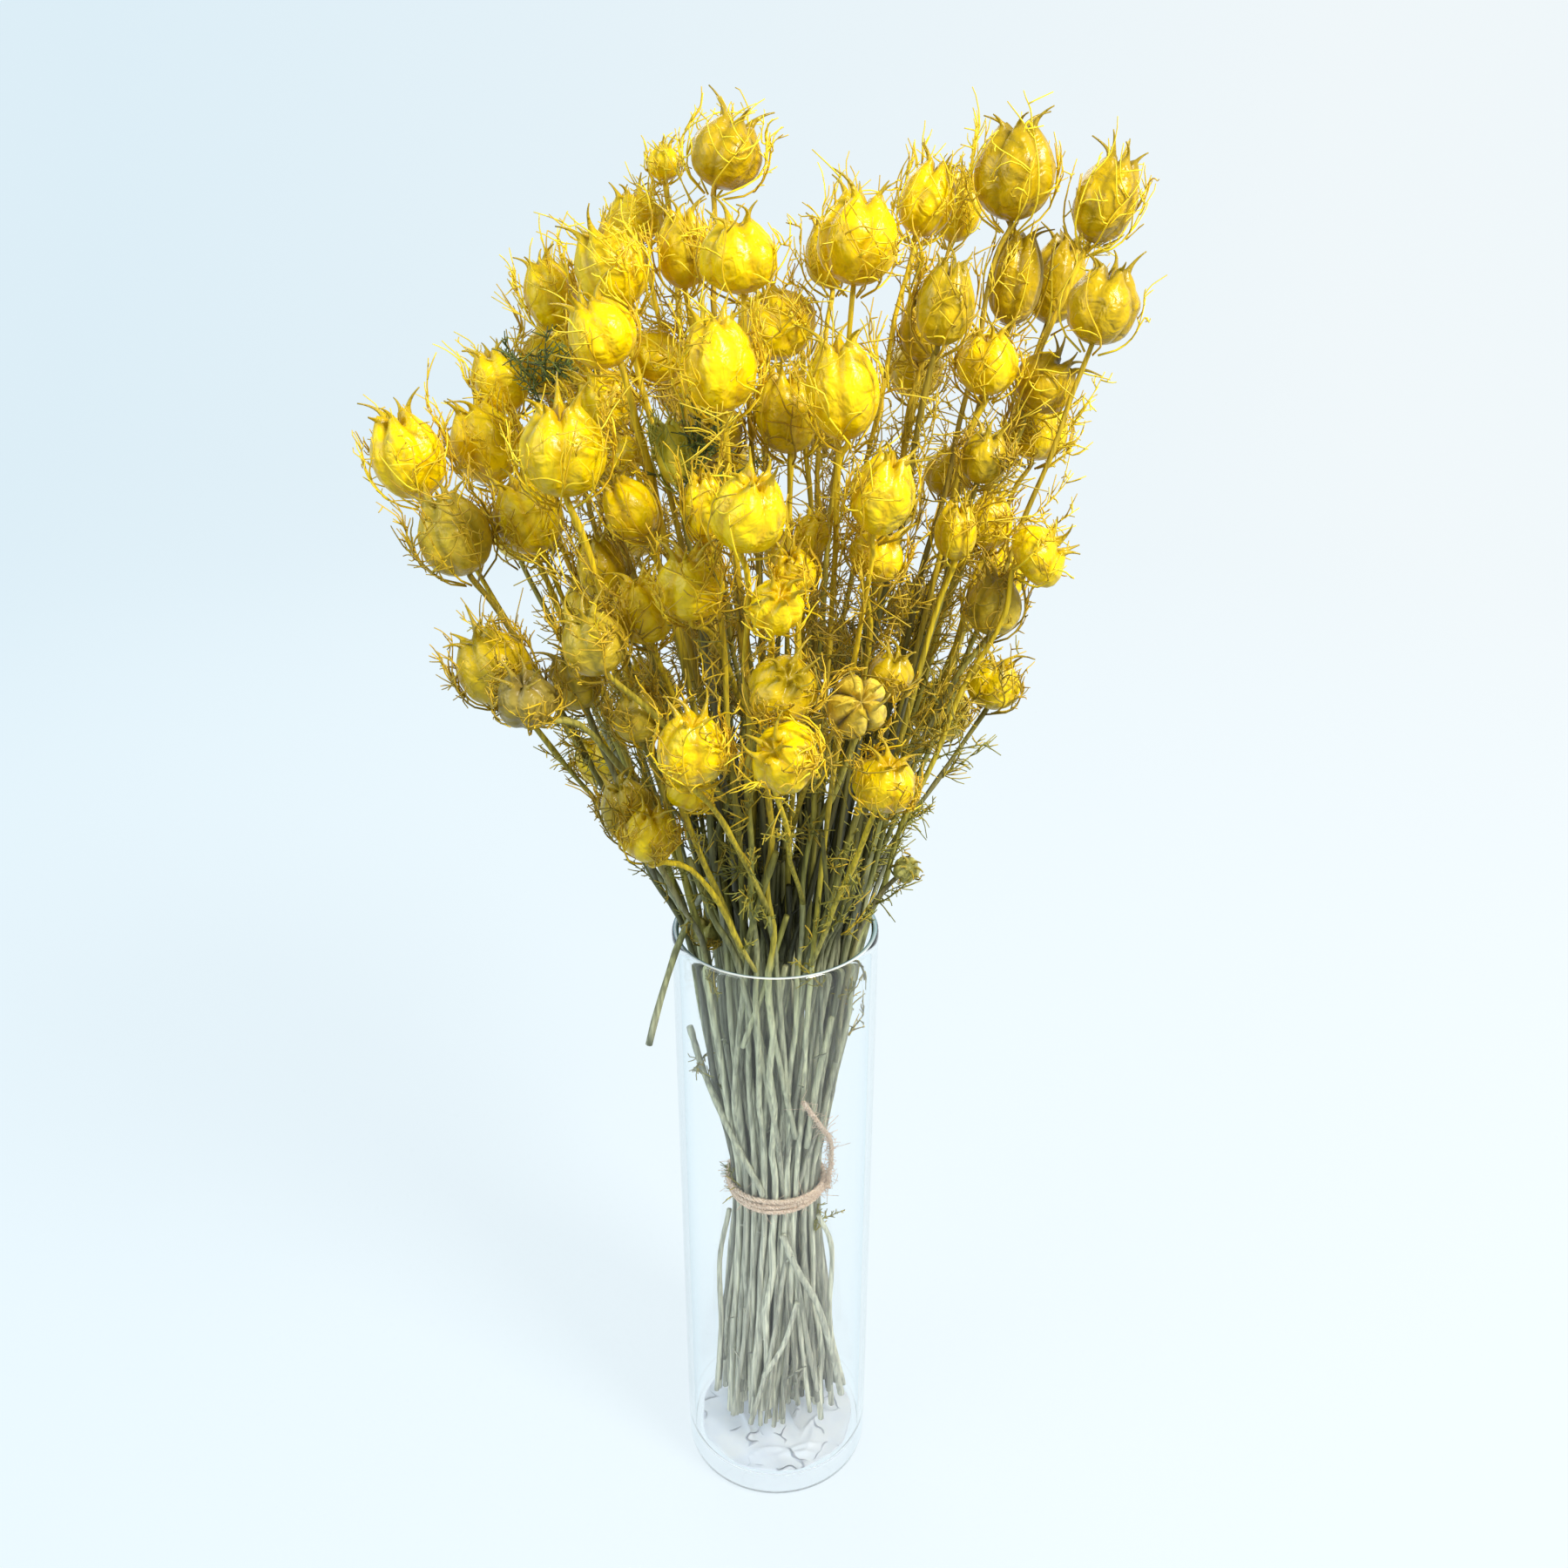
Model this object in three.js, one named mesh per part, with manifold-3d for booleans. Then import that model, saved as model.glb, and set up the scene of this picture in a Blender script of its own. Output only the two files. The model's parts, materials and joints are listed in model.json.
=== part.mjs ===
// A bouquet of dried nigella seed pods, tied with twine and standing in a glass cylinder vase.
// Millimetres, +Z up. The origin is the middle of the vase's underside, and -Y is the front.
import * as THREE from 'three';
import { mergeVertices } from 'three/addons/utils/BufferGeometryUtils.js';
import Module from 'manifold-3d';

const wasm = await Module();
wasm.setup();

const vase = { radius: 45, height: 300, wall: 3, floor: 9, sides: 37 };
const gap = 0.35;
const tie = { height: 163, inner: 22.9, thickness: 3.3, turns: 3, pitch: 3.2, sides: 24 };
const paper = { radius: 37, thickness: 0.9, sides: 18, lift: 1.55, crease: [0.8, 0.4] };

// The knot's middle and half sizes, and the line of the tail that leans on the stems
const knot = { middle: [25.8, -5, 164], size: [2.7, 3.4, 3.4] };
const tail = { radius: 1.1, line: [[25.9, -6, 166], [28, -10, 178], [26.5, -17, 198], [12, -32.5, 229]] };

// Heights at which every stem has a point, with the widest that the bundle may be there
const levels = [20, 80, 163, 225, 300, 330, 360, 390, 420, 450, 480, 510, 540, 570, 600];
const bundleRadius = [31, 26, 19.4, 29.5, 39.2, 52];
const tieLevel = 2;
const rimLevel = 4;

// Circumradius of a three-sided stem: in the bundle, at the rim and under a pod
const stemRadius = { low: 2.1, rim: 1.85, pod: 1.25, side: 1.3 };
const lowestEnd = 13;
const highestEnd = 34;
const frontLift = 0.5;
const mainStems = 56;
const twist = 0.35;

// A stem's last level stays this far below its pod, and a fork starts this far below it
const underPod = { last: 4, fork: 70, least: 3 };
const steepest = 0.7;
const beyondTop = 30;

// The stem that hangs over the rim, with its cut end outside the vase
const strayPod = 51;
const strayEnd = [-54, -30, 258];
const strayRim = [[-42.5, -24.5], [-28, -16.5]];

// The pods of the front, read off the bouquet by eye: middle across, in depth and in height,
// width, length without the horns, and lean to the right and towards the front in degrees
const frontPods = [
  [-17, 30, 607, 25, 22, 20, 0],
  [-43, 60, 602, 12, 11, 0, 0],
  [-47, 58, 584, 19, 17, -10, 0],
  [-33, 18, 575, 18, 24, 0, 0],
  [-12, -12, 575, 24, 22, -5, 5],
  [-59, 5, 570, 24, 26, -20, 0],
  [-85, 30, 558, 18, 24, -12, 0],
  [-59, -32, 552, 22, 21, -25, 0],
  [-43, 12, 538, 18, 19, -60, 0],
  [2, 22, 548, 24, 22, -35, 0],
  [-18, -52, 545, 24, 28, -4, 0],
  [31, 12, 579, 27, 28, 4, 0],
  [21, 55, 570, 17, 22, -8, 0],
  [58, 42, 591, 19, 24, 14, 0],
  [74, 78, 586, 16, 23, 8, 0],
  [89, 35, 601, 26, 30, -4, 0],
  [123, 30, 592, 22, 28, 12, 0],
  [93, 42, 563, 19, 31, 0, 0],
  [115, 74, 559, 21, 30, 4, 0],
  [119, 2, 557, 24, 24, 4, 0],
  [60, -18, 560, 19, 25, 4, 0],
  [53, 38, 545, 15, 22, -6, 0],
  [78, 0, 537, 20, 20, -6, 0],
  [102, 20, 528, 21, 19, 40, 0],
  [23, -55, 537, 23, 29, -8, 0],
  [5, -18, 523, 21, 26, -4, 0],
  [-22, -12, 516, 18, 19, -25, 0],
  [-63, 8, 523, 20, 21, -25, 0],
  [-106, 30, 526, 19, 22, -12, 0],
  [-134, -15, 507, 24, 28, -4, 0],
  [-111, 12, 506, 23, 27, -10, 0],
  [-70, -60, 518, 27, 27, 4, 0],
  [-51, -42, 494, 17, 20, -28, 0],
  [-116, -32, 482, 24, 27, -8, 0],
  [-91, -18, 485, 24, 25, -12, 0],
  [-36, -34, 512, 12, 21, -8, 0],
  [-54, -12, 506, 13, 10, -50, 0],
  [-7, -95, 506, 23, 23, 12, 8],
  [-23, -62, 499, 13, 22, -4, 0],
  [37, -72, 506, 20, 24, 10, 0],
  [35, -52, 480, 18, 15, 25, 10],
  [14, -48, 486, 11, 13, 8, 0],
  [7, -70, 479, 14, 15, -14, 18],
  [0, -92, 474, 17, 16, 15, 35],
  [-28, -76, 476, 20, 21, 0, 0],
  [-47, -58, 461, 19, 22, -8, 0],
  [-63, -34, 470, 16, 21, -8, 0],
  [-61, -72, 455, 20, 20, -16, 0],
  [-103, -48, 437, 24, 25, -18, 0],
  [-86, -76, 435, 19, 18, 8, 20],
  [-75, -36, 427, 18, 20, -10, 0],
  [-2, -78, 443, 22, 17, 20, 30],
  [29, -88, 437, 19, 17, 14, 55],
  [-27, -98, 426, 21, 23, 4, 0],
  [3, -106, 430, 22, 16, -45, 35],
  [-31, -72, 398, 15, 11, 30, 25],
  [-44, -60, 420, 16, 17, -4, 0],
  [40, -76, 403, 20, 19, 8, 8],
  [-56, -52, 382, 19, 22, -8, 0],
  [-45, -74, 382, 18, 18, 12, 0],
  [53, -34, 345, 10, 9, 14, 45],
  [-32, -14, 306, 13, 10, 20, 0],
  [95, -30, 472, 21, 15, 55, 0],
  [85, 6, 477, 16, 19, 0, 0],
  [67, -28, 483, 14, 19, -4, 0],
  [76, -24, 508, 16, 17, 8, 0],
  [82, -28, 452, 19, 21, 0, 0],
  [42, -62, 439, 15, 14, 8, 0],
];
const backPodCount = 24;
const fan = 0.45;
const plump = 1.1;

// Rings of a pod up its body, as shares of its length and of its half width
const podRings = [[0.16, 0.62], [0.48, 1], [0.8, 0.84]];
const smallPodRings = [[0.3, 0.9], [0.74, 0.92]];
const smallPod = 17.5;
const podColumns = 10;
const groove = 0.86;
const crown = { height: 0.95, radius: 0.3, dimple: 0.88 };
const horn = { height: 1.24, radius: 0.5 };
const podMiddle = 0.6;
const neck = 2.6;
const thread = {
  belly: [1.24, 0.3], tip: [0.78, 1.12], swing: 0.5, size: 0.5, clear: 1.1, overRim: 8,
};

// What a pod takes up while the bouquet settles: two balls up its axis
const podBalls = [[0.44, 0.52], [0.98, 0.3]];
const podFreedom = [0.7, 1, 0.4];
const rounds = 240;
const smoothRounds = 190;
const smoothing = 0.06;
const spare = 0.3;

// How much of each overlap one round pushes away, and the most that a point moves in a round
const push = { pods: 0.3, stemFromPod: 0.5, podFromStem: 0.3, stems: 0.4 };
const mostMove = { pod: 2, stem: 3 };
const tiny = 1e-6;

// A seeded draw, so that every run gives the same bouquet
function seededDraw(seed) {
  let state = seed;
  return (low, high) => {
    state = (state * 1664525 + 1013904223) % 4294967296;
    return low + (high - low) * (state / 4294967296);
  };
}

const add = (a, b, scale = 1) => a.map((value, i) => value + b[i] * scale);
const dot = (a, b) => a.reduce((sum, value, i) => sum + value * b[i], 0);
const length = (a) => Math.sqrt(dot(a, a));
const scaled = (a, scale) => a.map((value) => value * scale);
const unit = (a) => scaled(a, 1 / length(a));
const cross = (a, b) => [
  a[1] * b[2] - a[2] * b[1],
  a[2] * b[0] - a[0] * b[2],
  a[0] * b[1] - a[1] * b[0],
];
const clamp = (value, low, high) => Math.min(high, Math.max(low, value));
const degrees = (angle) => (angle * Math.PI) / 180;

function makePod([x, y, z, width, podLength, leanRight, leanFront]) {
  const rise = z - levels[tieLevel];
  const axis = unit([
    (fan * x) / rise + Math.tan(degrees(leanRight)),
    (fan * y) / rise - Math.tan(degrees(leanFront)),
    1,
  ]);
  const base = add([x, y, z], axis, -podMiddle * podLength);
  return { base, axis, width: width * plump, length: podLength };
}

// The far side of the bouquet, as full as the front: a dome of pods in golden-angle order
function backPods() {
  const draw = seededDraw(7);
  const pods = [];
  for (let i = 0; i < backPodCount; i++) {
    const azimuth = degrees(12 + 156 * ((i * 0.618 + 0.3) % 1));
    const height = 352 + 190 * ((i + 0.5) / backPodCount);
    const dome = 66 + 50 * Math.sin(degrees(150 * ((height - 340) / 210)));
    const reach = dome * draw(0.8, 1.08);
    const width = draw(19, 26);
    const row = [reach * Math.cos(azimuth), reach * Math.sin(azimuth), height, width];
    pods.push(makePod([...row, width * draw(0.9, 1.15), draw(-12, 12), draw(-12, 12)]));
  }
  return pods;
}

// Short stems fork from the long stem that points most nearly the same way
function makeStems(pods) {
  const direction = pods.map((pod) => unit(add(pod.base, [0, 0, -levels[tieLevel]])));
  const reach = pods.map((pod) => length(add(pod.base, [0, 0, -levels[tieLevel]])));
  const order = pods.map((_, i) => i).sort((a, b) => reach[a] - reach[b]);
  const sides = order.filter((i) => i !== strayPod).slice(0, pods.length - mainStems);
  const parentOf = new Map();
  for (const side of sides) {
    const free = order.filter((i) => i !== strayPod && !sides.includes(i)
      && ![...parentOf.values()].includes(i));
    const near = (i) => dot(direction[i], direction[side]);
    parentOf.set(side, free.reduce((best, i) => (near(i) > near(best) ? i : best)));
  }
  return pods.map((pod, i) => makeStem(pod, i, parentOf.get(i) ?? i));
}

function makeStem(pod, index, parent) {
  const below = (drop) => levels.filter((height) => height < pod.base[2] - drop).length - 1;
  const last = below(underPod.last);
  const fork = Math.max(underPod.least, below(underPod.fork));
  const first = index === parent ? (index === strayPod ? rimLevel : 0) : Math.min(fork, last - 1);
  return { pod, index, parent, first, last, path: [], fixed: index === strayPod ? 2 : 0 };
}

// Height at which t runs from 0 to 1 along a curve with the given slopes at both ends
function curved(t, from, fromSlope, to, toSlope, rise) {
  const square = t * t;
  const cube = square * t;
  return from * (2 * cube - 3 * square + 1) + fromSlope * rise * (cube - 2 * square + t)
    + to * (3 * square - 2 * cube) + toSlope * rise * (cube - square);
}

const podSlope = (pod) => {
  const slope = [pod.axis[0] / pod.axis[2], pod.axis[1] / pod.axis[2]];
  const steep = length(slope);
  return steep > steepest ? scaled(slope, steepest / steep) : slope;
};

// Stems keep their order across the bundle, so that they fan out without crossing
function layMainStems(stems) {
  const mains = stems.filter((stem) => stem.parent === stem.index && !stem.fixed);
  const spread = (stem) => Math.hypot(stem.pod.base[0], stem.pod.base[1])
    / (stem.pod.base[2] - levels[tieLevel]);
  const ranked = [...mains].sort((a, b) => spread(a) - spread(b));
  ranked.forEach((stem, rank) => {
    const azimuth = Math.atan2(stem.pod.base[1], stem.pod.base[0]);
    const share = Math.sqrt((rank + 0.5) / ranked.length);
    bundleRadius.slice(0, rimLevel + 1).forEach((radius, level) => {
      const turned = azimuth + (twist * (levels[level] - vase.height)) / vase.height;
      stem.path[level] = [
        radius * share * Math.cos(turned),
        radius * share * Math.sin(turned),
      ];
    });
    const rimPoint = stem.path[rimLevel];
    const below = stem.path[rimLevel - 1];
    const rise = levels[rimLevel] - levels[rimLevel - 1];
    layAbove(stem, rimLevel, rimPoint, scaled(add(rimPoint, below, -1), 1 / rise));
  });
}

function layAbove(stem, from, start, startSlope) {
  const { base } = stem.pod;
  const slope = podSlope(stem.pod);
  const rise = base[2] - levels[from];
  stem.path[from] = start;
  for (let level = from + 1; level <= stem.last; level++) {
    const t = (levels[level] - levels[from]) / rise;
    stem.path[level] = [0, 1].map((side) => curved(
      t, start[side], startSlope[side], base[side], slope[side], rise));
  }
}

function layOtherStems(stems) {
  for (const stem of stems) {
    if (stem.fixed) {
      const rise = levels[rimLevel + 1] - levels[rimLevel];
      const slope = scaled(add(strayRim[1], strayRim[0], -1), 1 / rise);
      layAbove(stem, rimLevel + 1, strayRim[1], slope);
      stem.path[rimLevel] = strayRim[0];
    } else if (stem.parent !== stem.index) {
      const { path } = stems[stem.parent];
      const rise = levels[stem.first] - levels[stem.first - 1];
      const slope = scaled(add(path[stem.first], path[stem.first - 1], -1), 1 / rise);
      layAbove(stem, stem.first, path[stem.first], slope);
    }
  }
}

function radiusAt(stem, level) {
  if (stem.parent !== stem.index) return stemRadius.side;
  if (level < rimLevel) return stemRadius.low;
  const t = (level - rimLevel) / Math.max(1, stem.last + 1 - rimLevel);
  return stemRadius.rim + (stemRadius.pod - stemRadius.rim) * t;
}

const ballsOf = (pod) => podBalls.map(([height, radius]) => ({
  centre: add(pod.base, pod.axis, height * pod.length),
  radius: radius * pod.width + gap,
}));

const heightOf = (level) => levels[level] ?? levels[levels.length - 1] + beyondTop;

// The stem's run through its pod up to the next level, so that pairs compare level by level
function closePath(stem) {
  const { base } = stem.pod;
  const rise = heightOf(stem.last + 1) - base[2];
  stem.path[stem.last + 1] = add(base.slice(0, 2), podSlope(stem.pod), rise);
}

function separatePods(pods, shift) {
  const balls = pods.map(ballsOf);
  for (let i = 0; i < pods.length; i++) {
    for (let j = i + 1; j < pods.length; j++) {
      for (const a of balls[i]) {
        for (const b of balls[j]) {
          const apart = add(a.centre, b.centre, -1);
          const overlap = a.radius + b.radius + 2 * gap - length(apart);
          if (overlap > 0) {
            const step = scaled(unit(apart), overlap * push.pods);
            shift[i] = add(shift[i], step);
            shift[j] = add(shift[j], step, -1);
          }
        }
      }
    }
  }
}

function clearPods(pods, stems, podShift, stemShift) {
  const balls = pods.map(ballsOf);
  for (const stem of stems) {
    for (let level = stem.first; level <= stem.last; level++) {
      const low = [...stem.path[level], levels[level]];
      const along = add([...stem.path[level + 1], heightOf(level + 1)], low, -1);
      const radius = radiusAt(stem, level);
      pods.forEach((pod, p) => {
        if (p === stem.index) return;
        for (const ball of balls[p]) {
          const offset = add(ball.centre, low, -1);
          const t = clamp(dot(offset, along) / dot(along, along), 0, 1);
          const away = add(scaled(along, t), offset, -1);
          const overlap = ball.radius + radius + 2 * gap - length(away);
          if (overlap > 0) {
            const step = scaled(unit([away[0] + tiny, away[1]]), overlap * push.stemFromPod);
            const shift = stemShift[stem.index];
            shift[level] = add(shift[level], step, 1 - t);
            shift[level + 1] = add(shift[level + 1], step, t);
            podShift[p] = add(podShift[p], [...step, 0], -push.podFromStem);
          }
        }
      });
    }
  }
}

function separateStems(stems, shift) {
  for (let i = 0; i < stems.length; i++) {
    for (let j = i + 1; j < stems.length; j++) {
      const a = stems[i];
      const b = stems[j];
      if (a.parent === b.parent) continue;
      const from = Math.max(a.first, b.first);
      const to = Math.min(a.last, b.last);
      for (let level = from; level <= to; level++) {
        const low = add(a.path[level], b.path[level], -1);
        const change = add(add(a.path[level + 1], b.path[level + 1], -1), low, -1);
        const t = clamp(-dot(low, change) / (dot(change, change) + tiny), 0, 1);
        const apart = add(low, change, t);
        const tilt = level < rimLevel ? 1.02 : 1.15;
        const near = (radiusAt(a, level) + radiusAt(b, level) + gap + spare) * tilt;
        const overlap = near - length(apart);
        if (overlap > 0) {
          const step = scaled(unit([apart[0] + tiny, apart[1]]), overlap * push.stems);
          shift[i][level] = add(shift[i][level], step, 1 - t);
          shift[i][level + 1] = add(shift[i][level + 1], step, t);
          shift[j][level] = add(shift[j][level], step, t - 1);
          shift[j][level + 1] = add(shift[j][level + 1], step, -t);
        }
      }
    }
  }
}

// Moves every pod and stem point by its pushes, then keeps the bundle inside vase and tie
function applyShifts(pods, stems, podShift, stemShift, ease) {
  pods.forEach((pod, i) => {
    const step = podShift[i].map((value) => clamp(value, -mostMove.pod, mostMove.pod));
    pod.base = pod.base.map((value, k) => value + step[k] * podFreedom[k]);
    pod.base[2] = Math.max(pod.base[2], levels[stems[i].last] + neck + gap);
  });
  for (const stem of stems) {
    const moved = stem.path.map((point, level) => {
      if (level < stem.first + stem.fixed || level > stem.last) return point;
      const step = stemShift[stem.index][level].map(
        (value) => clamp(value, -mostMove.stem, mostMove.stem));
      const next = add(point, step);
      if (level > stem.first) {
        const share = (levels[level] - levels[level - 1])
          / (heightOf(level + 1) - levels[level - 1]);
        const before = stem.path[level - 1];
        const straight = add(before, add(stem.path[level + 1], before, -1), share);
        return add(scaled(next, 1 - ease), straight, ease);
      }
      return next;
    });
    stem.path = moved.map((point, level) => {
      const limit = bundleRadius[level] ?? Infinity;
      const radius = stem.fixed && level <= rimLevel ? 0 : length(point);
      return radius > limit ? scaled(point, limit / radius) : point;
    });
  }
  for (const stem of stems) {
    if (stem.parent !== stem.index) stem.path[stem.first] = stems[stem.parent].path[stem.first];
    closePath(stem);
  }
}

function growBouquet() {
  const pods = [...frontPods.map(makePod), ...backPods()];
  const stems = makeStems(pods);
  layMainStems(stems);
  layOtherStems(stems);
  stems.forEach(closePath);
  for (let round = 0; round < rounds; round++) {
    const podShift = pods.map(() => [0, 0, 0]);
    const stemShift = stems.map((stem) => Array.from(
      { length: stem.last + 2 }, () => [0, 0]));
    separatePods(pods, podShift);
    clearPods(pods, stems, podShift, stemShift);
    separateStems(stems, stemShift);
    applyShifts(pods, stems, podShift, stemShift, round < smoothRounds ? smoothing : 0);
  }
  return { pods, stems };
}

// A closed surface built ring by ring
class Surface {
  constructor() {
    this.points = [];
    this.faces = [];
  }

  ring(points) {
    return points.map((point) => this.points.push(point) - 1);
  }

  // Joins two rings that start at the same angle and may differ in their number of points
  bridge(low, high) {
    let i = 0;
    let j = 0;
    while (i < low.length || j < high.length) {
      const takeLow = j === high.length
        || (i < low.length && (i + 0.5) / low.length < (j + 0.5) / high.length);
      const a = low[i % low.length];
      const b = high[j % high.length];
      if (takeLow) {
        this.faces.push([a, low[(i + 1) % low.length], b]);
        i += 1;
      } else {
        this.faces.push([a, high[(j + 1) % high.length], b]);
        j += 1;
      }
    }
  }

  fan(ring, apex) {
    ring.forEach((point, i) => this.faces.push([point, ring[(i + 1) % ring.length], apex]));
  }

  solid() {
    return new wasm.Manifold(new wasm.Mesh({
      numProp: 3,
      vertProperties: new Float32Array(this.points.flat()),
      triVerts: new Uint32Array(this.faces.flat()),
    }));
  }
}

// Two directions square to the tangent, the first as near as can be to a fixed side
function sidesOf(tangent, side) {
  const across = unit(add(side, tangent, -dot(side, tangent)));
  return [across, cross(tangent, across)];
}

function circle(centre, [across, up], radius, count, share = () => 1) {
  return Array.from({ length: count }, (_, i) => {
    const angle = (2 * Math.PI * i) / count;
    const reach = radius * share(i);
    return add(add(centre, across, reach * Math.cos(angle)), up, reach * Math.sin(angle));
  });
}

function stemPoints(stem) {
  const points = [];
  for (let level = stem.first; level <= stem.last; level++) {
    points.push([...stem.path[level], levels[level]]);
  }
  if (stem.fixed) {
    points.unshift(strayEnd);
  } else if (stem.first === 0) {
    const draw = seededDraw(stem.index * 97711 + 5);
    const end = Math.max(lowestEnd, draw(lowestEnd, highestEnd) - frontLift * points[0][1]);
    const reach = (levels[1] - end) / (levels[1] - levels[0]);
    points[0] = add(points[1], add(points[0], points[1], -1), reach);
  }
  return points;
}

// A level direction square to the way from the stem's foot to its pod
function sideOf(stem) {
  const over = add(stem.pod.base, stemPoints(stem)[0], -1);
  return unit([-over[1] - tiny, over[0], 0]);
}

// A stem, the pod on its end and the threads below it, as one closed surface
function stemSurface(stem, threads) {
  const { pod } = stem;
  const surface = new Surface();
  const points = stemPoints(stem);
  const neckPoint = add(pod.base, pod.axis, -neck);
  points.push(neckPoint, pod.base);
  const side = sideOf(stem);
  const rings = points.map((point, i) => {
    const ahead = unit(add(points[i + 1] ?? add(pod.base, pod.axis), point, -1));
    const behind = i ? unit(add(point, points[i - 1], -1)) : ahead;
    const tangent = i === points.length - 1 ? pod.axis : unit(add(ahead, behind));
    const radius = i < points.length - 2 ? radiusAt(stem, stem.first + i) : stemRadius.pod;
    return surface.ring(circle(point, sidesOf(tangent, side), radius, 3));
  });
  surface.faces.push([rings[0][0], rings[0][2], rings[0][1]]);
  for (let i = 1; i < rings.length; i++) surface.bridge(rings[i - 1], rings[i]);
  growPod(surface, pod, rings[rings.length - 1], sidesOf(pod.axis, side));
  growThreads(surface, pod, rings.slice(-2), sidesOf(pod.axis, side), threads);
  return surface;
}

function growPod(surface, pod, baseRing, sides) {
  const at = (height) => add(pod.base, pod.axis, height * pod.length);
  const rib = (i) => (i % 2 ? groove : 1);
  let below = baseRing;
  for (const [height, share] of pod.width < smallPod ? smallPodRings : podRings) {
    const ring = surface.ring(circle(at(height), sides, (share * pod.width) / 2, podColumns, rib));
    surface.bridge(below, ring);
    below = ring;
  }
  const tips = circle(at(horn.height), sides, (horn.radius * pod.width) / 2, podColumns);
  const hollows = circle(at(crown.height), sides, (crown.radius * pod.width) / 2, podColumns);
  const top = surface.ring(tips.map((tip, i) => (i % 2 ? hollows[i] : tip)));
  surface.bridge(below, top);
  const [apex] = surface.ring([at(crown.dimple)]);
  surface.fan(top, apex);
}

function threadPoint(pod, sides, angle, [out, up]) {
  const outward = add(scaled(sides[0], Math.cos(angle)), sides[1], Math.sin(angle));
  return add(add(pod.base, outward, (out * pod.width) / 2), pod.axis, up * pod.length);
}

// Threads rise from the faces of the neck, out round the belly and in again over the crown
function growThreads(surface, pod, [neckRing, baseRing], sides, threads) {
  for (const { face, angle } of threads) {
    const corner = [neckRing[face], neckRing[(face + 1) % 3], baseRing[(face + 1) % 3]];
    const found = surface.faces.findIndex((three) => corner.every((c) => three.includes(c)));
    const [triangle] = surface.faces.splice(found, 1);
    const outward = add(scaled(sides[0], Math.cos(angle)), sides[1], Math.sin(angle));
    const sideways = cross(pod.axis, outward);
    const corners = triangle.map((i) => surface.points[i]);
    const middle = scaled(corners.reduce((sum, point) => add(sum, point)), 1 / 3);
    const belly = threadPoint(pod, sides, angle, thread.belly);
    const tip = threadPoint(pod, sides, angle, thread.tip);
    const forward = unit(add(unit(add(belly, middle, -1)), unit(add(tip, belly, -1))));
    const rising = cross(forward, sideways);
    const ring = surface.ring(corners.map((point) => {
      const offset = add(point, middle, -1);
      const up = dot(offset, pod.axis) * thread.size;
      const across = dot(offset, sideways) * thread.size;
      return add(add(belly, rising, up), sideways, across);
    }));
    const [apex] = surface.ring([tip]);
    surface.bridge(triangle, ring);
    surface.fan(ring, apex);
  }
}

// A thread is kept where it stays nearer its own pod than anything else
function chooseThreads(stem, bouquet) {
  const { pod } = stem;
  const sides = sidesOf(pod.axis, sideOf(stem));
  const threads = [];
  for (let face = 0; face < 3; face++) {
    const middle = ((2 * face + 1) * Math.PI) / 3;
    const swings = [0, thread.swing, -thread.swing];
    const free = swings.find((swing) => {
      const ends = [thread.belly, thread.tip].map(
        (place) => threadPoint(pod, sides, middle + swing, place));
      const half = scaled(add(ends[0], ends[1]), 0.5);
      return [...ends, half].every((end) => isFree(end, stem, bouquet));
    });
    if (free !== undefined) threads.push({ face, angle: middle + free });
  }
  return threads;
}

function isFree(point, stem, { pods, stems }) {
  const toPod = (pod) => Math.min(...ballsOf(pod).map(
    (ball) => length(add(point, ball.centre, -1)) - ball.radius));
  const own = Math.max(toPod(stem.pod), 0);
  return point[2] > vase.height + thread.overRim
    && pods.every((pod, p) => p === stem.index || toPod(pod) > own + thread.clear)
    && stems.every((other) => other.parent === stem.parent
      || distanceToStem(point, other) > radiusAt(other, other.last) + 2 * thread.clear);
}

function distanceToStem(point, stem) {
  let nearest = Infinity;
  for (let level = stem.first; level <= stem.last; level++) {
    const low = [...stem.path[level], levels[level]];
    const along = add([...stem.path[level + 1], heightOf(level + 1)], low, -1);
    const offset = add(point, low, -1);
    const t = clamp(dot(offset, along) / dot(along, along), 0, 1);
    nearest = Math.min(nearest, length(add(offset, along, -t)));
  }
  return nearest;
}

function geometryOf(solid) {
  const mesh = solid.getMesh();
  const geometry = new THREE.BufferGeometry();
  geometry.setAttribute('position', new THREE.BufferAttribute(mesh.vertProperties, 3));
  geometry.setIndex(new THREE.BufferAttribute(mesh.triVerts, 1));
  return geometry;
}

function solidOf(geometry) {
  geometry.deleteAttribute('normal');
  geometry.deleteAttribute('uv');
  const merged = mergeVertices(geometry, 1e-4);
  return new wasm.Manifold(new wasm.Mesh({
    numProp: 3,
    vertProperties: merged.attributes.position.array,
    triVerts: new Uint32Array(merged.index.array),
  }));
}

// A profile of radius and height turned round Z
function turned(profile, sides) {
  const outline = profile.map(([radius, height]) => new THREE.Vector2(radius, height));
  return solidOf(new THREE.LatheGeometry(outline, sides).rotateX(Math.PI / 2));
}

function makeVase() {
  const { radius, height, wall, floor, sides } = vase;
  const bore = radius - wall;
  const below = 1;
  const profile = [
    [0, -below], [radius - 3, -below], [radius - 1, 1], [radius, 4],
    [radius, height - 1.2], [radius - wall / 2, height], [bore, height - 1.2],
    [bore, floor + 4], [bore - 4, floor], [0, floor],
  ];
  const underside = new THREE.BoxGeometry(4 * radius, 4 * radius, 4 * below);
  underside.translate(0, 0, -2 * below);
  return turned(profile, sides).subtract(solidOf(underside));
}

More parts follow.
